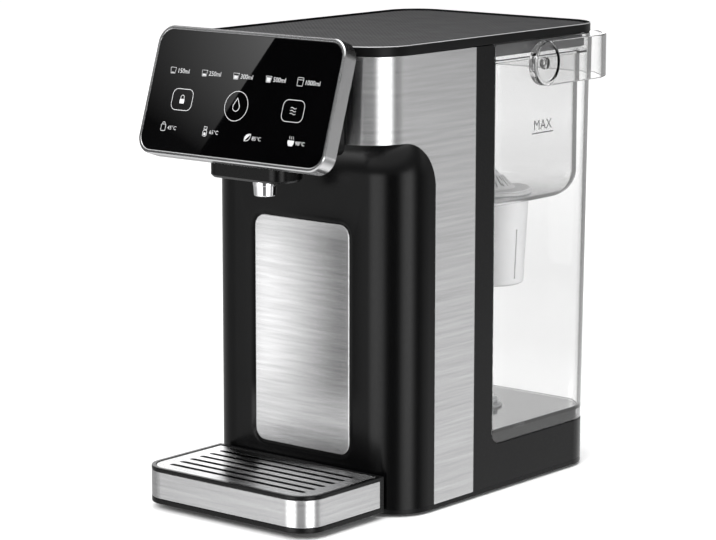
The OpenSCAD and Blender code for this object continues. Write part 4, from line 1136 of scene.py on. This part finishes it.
# The hubs are turned on their side, fused to the ends of the band, and dished inside their rings
hub_inner = tank_hw + hub_gap
dish_r = hub_r - hub_ring
dish_x = handle_hw - hub_set
hub_profile = fillet([(hub_bore_r, hub_inner, 0), (hub_r, hub_inner, 0.6), (hub_r, handle_hw, 0.6),
                      (dish_r, handle_hw, 0.6), (dish_r, dish_x, 0.5), (hub_bore_r, dish_x, 0)], 4)
for s in (1, -1):
    sideways = Matrix.Translation((0, hub_y, hub_z)) @ Matrix.Rotation(s * pi / 2, 4, "Y")
    hub = lathe(hub_profile + hub_profile[:1], caps=False)
    dish = lathe(((dish_r, dish_x), (dish_r, handle_hw + 2)))
    for turned, operation in ((hub, "UNION"), (dish, "DIFFERENCE")):
        bmesh.ops.transform(turned, matrix=sideways, verts=turned.verts)
        handle = carve(handle, turned, operation)
handle_clear = clear_plastic("handle_clear", clear_tint, 0.015)
let_light_in(add_piece("handle_bail", handle, handle_clear, "handle", "clear_plastic", "tank_handle"))

# Reservoir
# The clear upper tank that hangs inside the water tank by its flange, with big rounds at its lower edges.
# Tap water is poured in here and runs down through the filter. The fill mark is printed on its side.
res_hw = 77.45
res_front = 22.2
res_rear = 126
res_low = 184.8
res_t = 2.0
res_r = 18
res_front_r = 9
flange_hw = 80.05
flange_front = 19.6
flange_rear = 135.9
flange_front_r = 0.5
flange_rear_r = 22.6
flange_low = 282.7
flange_top = 284.1
water_x = 31
water_y = 79
filter_r = 26.6
seat_gap = 0.4
mark_y = 75
mark_z = 235.0
mark_h = 6.6
mark_t = 0.06
mark_gap = 0.1
bar_hw = 12
bar_low = 232.4
bar_top = 233.2
reservoir_tint = (0.962, 0.962, 0.962)


def bowl_ring(inset, z):
    """A level of the reservoir, drawn in from its side."""
    half = res_hw - inset
    front_y = res_front + inset
    rear_y = res_rear - inset
    front = max(res_front_r - inset * 0.4, 2)
    rear = max(res_r - inset * 0.7, 4)
    outline = fillet([(-half, front_y, front), (half, front_y, front),
                      (half, rear_y, rear), (-half, rear_y, rear)], 10)
    return [(p.x, p.y, z) for p in outline]


outside = fillet([(res_r + 4, res_low, 0), (0, res_low, res_r), (0, flange_low, 0)], 12, False)
inside = fillet([(res_t, flange_top, 0), (res_t, res_low + res_t, res_r - res_t),
                 (res_r + 4, res_low + res_t, 0)], 12, False)
flange = plan(flange_hw, flange_front, flange_rear, flange_front_r, flange_rear_r)
rings = [bowl_ring(p.x, p.y) for p in outside]
rings += [[(p.x, p.y, z) for p in flange] for z in (flange_low, flange_top)]
rings += [bowl_ring(p.x, p.y) for p in inside]
seat_r = filter_r + seat_gap
seat = lathe([(seat_r, res_low - 5), (seat_r, res_low + 8)], (water_x, water_y))
reservoir = carve(loft(rings), seat)
reservoir_clear = clear_plastic("reservoir_clear", reservoir_tint, 0.02)
bowl_part = add_piece("reservoir_bowl", reservoir, reservoir_clear, "upper_tank", "clear_plastic",
                      "reservoir")
let_light_in(bowl_part)

# The fill mark: a word over a bar, on the right side
mark = bmesh.new()
lettering("MAX", mark_y, mark_z, mark_h, mark, "CENTER")
bar_ends = ((-bar_hw, bar_low), (bar_hw, bar_low), (bar_hw, bar_top), (-bar_hw, bar_top))
mark.faces.new([mark.verts.new((mark_y + y, z, 0)) for y, z in bar_ends])
bmesh.ops.solidify(mark, geom=mark.faces[:], thickness=mark_t)
on_side = Matrix.Translation((res_hw + mark_gap, 0, 0)) @ across
bmesh.ops.transform(mark, matrix=on_side, verts=mark.verts)
mark_grey = moulded("mark_grey", (0.1, 0.1, 0.1), 0.6, 0.2)
add_piece("fill_mark", mark, mark_grey, "upper_tank", "clear_plastic")

# Filter
# A white cartridge that plugs through the reservoir floor on a rubber ring, with slots low in its side
# where the water leaves, and a louvred cone on top where it enters.
filter_tip_r = 23.5
filter_low = 127
filter_rim = 187.9
filter_rim_r = 28.3
filter_top = 189.9
cap_high = 204.4
cap_r = 4.5
cap_base_r = 17.8
cap_skin = 2
cap_seat = filter_top + 0.05
cap_step = filter_top + 1.2
filter_skin = 2
filter_drain_r = 3
filter_slots = 8
filter_slot_hw = 0.6
filter_slot_low = filter_low + 4.5
filter_slot_top = filter_low + 38.5
filter_turn = radians(6)
louvres = 24
louvre_hw = 0.55
louvre_low = filter_top + 3
louvre_top = cap_high - 4.5


def slots_round(count, outline, near, far, start=0):
    """Cutters spaced evenly round the filter, each a block on an outline from one radius to another."""
    cutters = []
    for k in range(count):
        spot = Matrix.Translation((water_x, water_y, 0)) @ Matrix.Rotation(2 * pi * k / count - start, 4, "Z")
        cutters.append(prism(outline, near, far, spot @ across))
    return join(*cutters)


inner_low = filter_low + filter_skin
profile = fillet([(filter_drain_r, filter_low, 0), (filter_tip_r, filter_low, 2), (filter_r, filter_rim, 0.3),
                  (filter_rim_r, filter_rim, 0.6), (filter_rim_r, filter_top, 0.8),
                  (filter_r - filter_skin, filter_top, 0.3), (filter_tip_r - filter_skin, inner_low, 1.5),
                  (filter_drain_r, inner_low, 0)], 4, False)
cartridge = lathe(profile, (water_x, water_y), 96)
filter_slot = rect(filter_slot_hw, filter_slot_low, filter_slot_top, 0.5, 4)
cuts = slots_round(filter_slots, filter_slot, filter_tip_r - 5, filter_r + 5, filter_turn)
cartridge = carve(cartridge, cuts)
filter_white = milky("filter_white", (0.82, 0.82, 0.825), 0.15)
add_piece("filter_cup", cartridge, filter_white, "filter", "white_plastic", "filter_cartridge")
cap_inner = cap_high - cap_skin
profile = fillet([(1, cap_inner, 0), (cap_r - cap_skin, cap_inner, 0.3), (cap_base_r - 4, cap_seat, 0.2),
                  (filter_r, cap_seat, 0.3), (filter_r, cap_step, 0.4), (cap_base_r - 1.2, cap_step, 0.6),
                  (cap_r, cap_high, 1.5), (1, cap_high, 0)], 4, False)
cap = lathe(profile, (water_x, water_y), 96)
louvre = rect(louvre_hw, louvre_low, louvre_top, 0.5, 3)
cap = carve(cap, slots_round(louvres, louvre, cap_r + 1, filter_r + 5))
add_piece("filter_cone", cap, filter_white, "filter", "white_plastic", "filter_cap")
ring_rubber = moulded("ring_rubber", (0.3, 0.32, 0.33), 0.6, 0.3)
dress(ring_rubber, 0, "filter_seal")

# Lid
# A dark grey cover over the body and the tank, lifted off to fill it. Its top is textured with a fine weave
# inside a thin raised rim, its edge is smooth and black, and a skirt under it plugs into the tank.
lid_rear = tank_rear
lid_low = 295.8
lid_top = 302.0
lid_plate = 3.0
rim_inset = 2.6
rim_d = 1.3
rim_round = 0.9
# The faces of the rim's outer round that turn up this far get a painted highlight
highlight_rise = (0.25, 0.97)
field_rise = 0.9
weave_pitch = 2.4
wave_length = 0.31416
lid_grey = (0.058, 0.058, 0.059)
# Colour of the painted highlight along the rim's outer round
highlight_grey = (0.3, 0.3, 0.305)


def woven(name, colour, pitch):
    """Textured plastic: two crossing sets of fine ribs, darker between them, with clouds in the gloss.

    A wave texture of scale 1 repeats after wave_length.
    """
    material, tree, base = finish_nodes(name)
    place = tree.nodes.new("ShaderNodeTexCoord")
    total = tree.nodes.new("ShaderNodeMath")
    total.operation = "MULTIPLY"
    for i, direction in enumerate((45, -45)):
        turn = tree.nodes.new("ShaderNodeMapping")
        turn.inputs["Rotation"].default_value = (0, 0, radians(direction))
        ribs = tree.nodes.new("ShaderNodeTexWave")
        ribs.inputs["Scale"].default_value = wave_length / (pitch * mm)
        tree.links.new(place.outputs["Object"], turn.inputs["Vector"])
        tree.links.new(turn.outputs[0], ribs.inputs["Vector"])
        tree.links.new(ribs.outputs["Fac"], total.inputs[i])
    tree.links.new(tint(tree, total.outputs[0], colour, 0.5), base.inputs["Base Color"])
    tree.links.new(spread(tree, noise(tree, 50), 0.5, 0.6), base.inputs["Roughness"])
    base.inputs["Specular IOR Level"].default_value = 0.15
    dent(tree, base, total.outputs[0], 0.7, 0.0002)
    return material


field_z = lid_top - rim_d
section = fillet([(lid_plate, lid_top - lid_plate, 0), (lid_plate, lid_low, 0.3), (0, lid_low, 0.6),
                  (0, lid_top, rim_round), (rim_inset, lid_top, 0.5), (rim_inset, field_z, 0.2),
                  (rim_inset + 0.8, field_z, 0)], 4, False)
lid = loft(shell(hw, -band_front, lid_rear, front_r, tank_rear_r, section, 16))
lid_edge = moulded("lid_edge", case_black, 0.32, 0.1)
lid_part = add_piece("lid_cover", lid, lid_edge, "cover", "lid_grey", "lid")
lid_part.data.materials.append(woven("lid_weave", lid_grey, weave_pitch))
# The third finish is the painted highlight along the rim's outer round
lid_part.data.materials.append(moulded("lid_painted_highlight", highlight_grey, 0.3, 0.5))

# The outer round of the rim is painted pale grey, a painted highlight of the light along that edge, and the
# sunk field inside it is woven. Both are told by how far a face turns upward.
lid_middle = Vector((0, (lid_rear - band_front) / 2, lid_top)) * mm
for face in lid_part.data.polygons:
    outward = face.normal.dot(face.center - lid_middle) > 0
    slanted = highlight_rise[0] < face.normal.z < highlight_rise[1]
    if outward and slanted and face.center.z > (lid_top - rim_round) * mm:
        face.material_index = 2
    if face.normal.z > field_rise and face.center.z < (lid_top - rim_d / 2) * mm:
        face.material_index = 1
skirt_grey = moulded("skirt_grey", (0.07, 0.07, 0.072), 0.5, 0.35)
dress(skirt_grey, 0.3, "lid_skirt")

# Drip tray
# A black pan that slides in under the spout on two tongues, with a steel skirt bent round its front and
# sides. Its rim stands above the steel, and it rests on small rubber pads.
tray_plastic = moulded("tray_plastic", case_black, 0.28, 0.15)
dress(tray_plastic, 0.5, "tray_pan")
tray_steel = brushed("tray_steel", steel_colour, steel_grain, steel_rough, turn=0.25, contrast=0.08)
dress(tray_steel, 0.25, "tray_skirt")
dress(foot_rubber, 0.3, "tray_feet")

# Grate
# A thin plate of brushed steel with six long slots, stamped from sheet.
# It lies loose on the ledge inside the tray, so it lifts out.
grate_steel = brushed("grate_steel", plate_steel, (6, 800, 800), 0.26, turn=0, contrast=0.04)
dress(grate_steel, 0.25, "drip_grate")

# Light through the clear pieces
# A ray crosses several walls of the tank and of the reservoir, so it is followed far enough to come out
# on the other side.
scene.cycles.max_bounces = 28
scene.cycles.transmission_bounces = 24
scene.cycles.glossy_bounces = 8
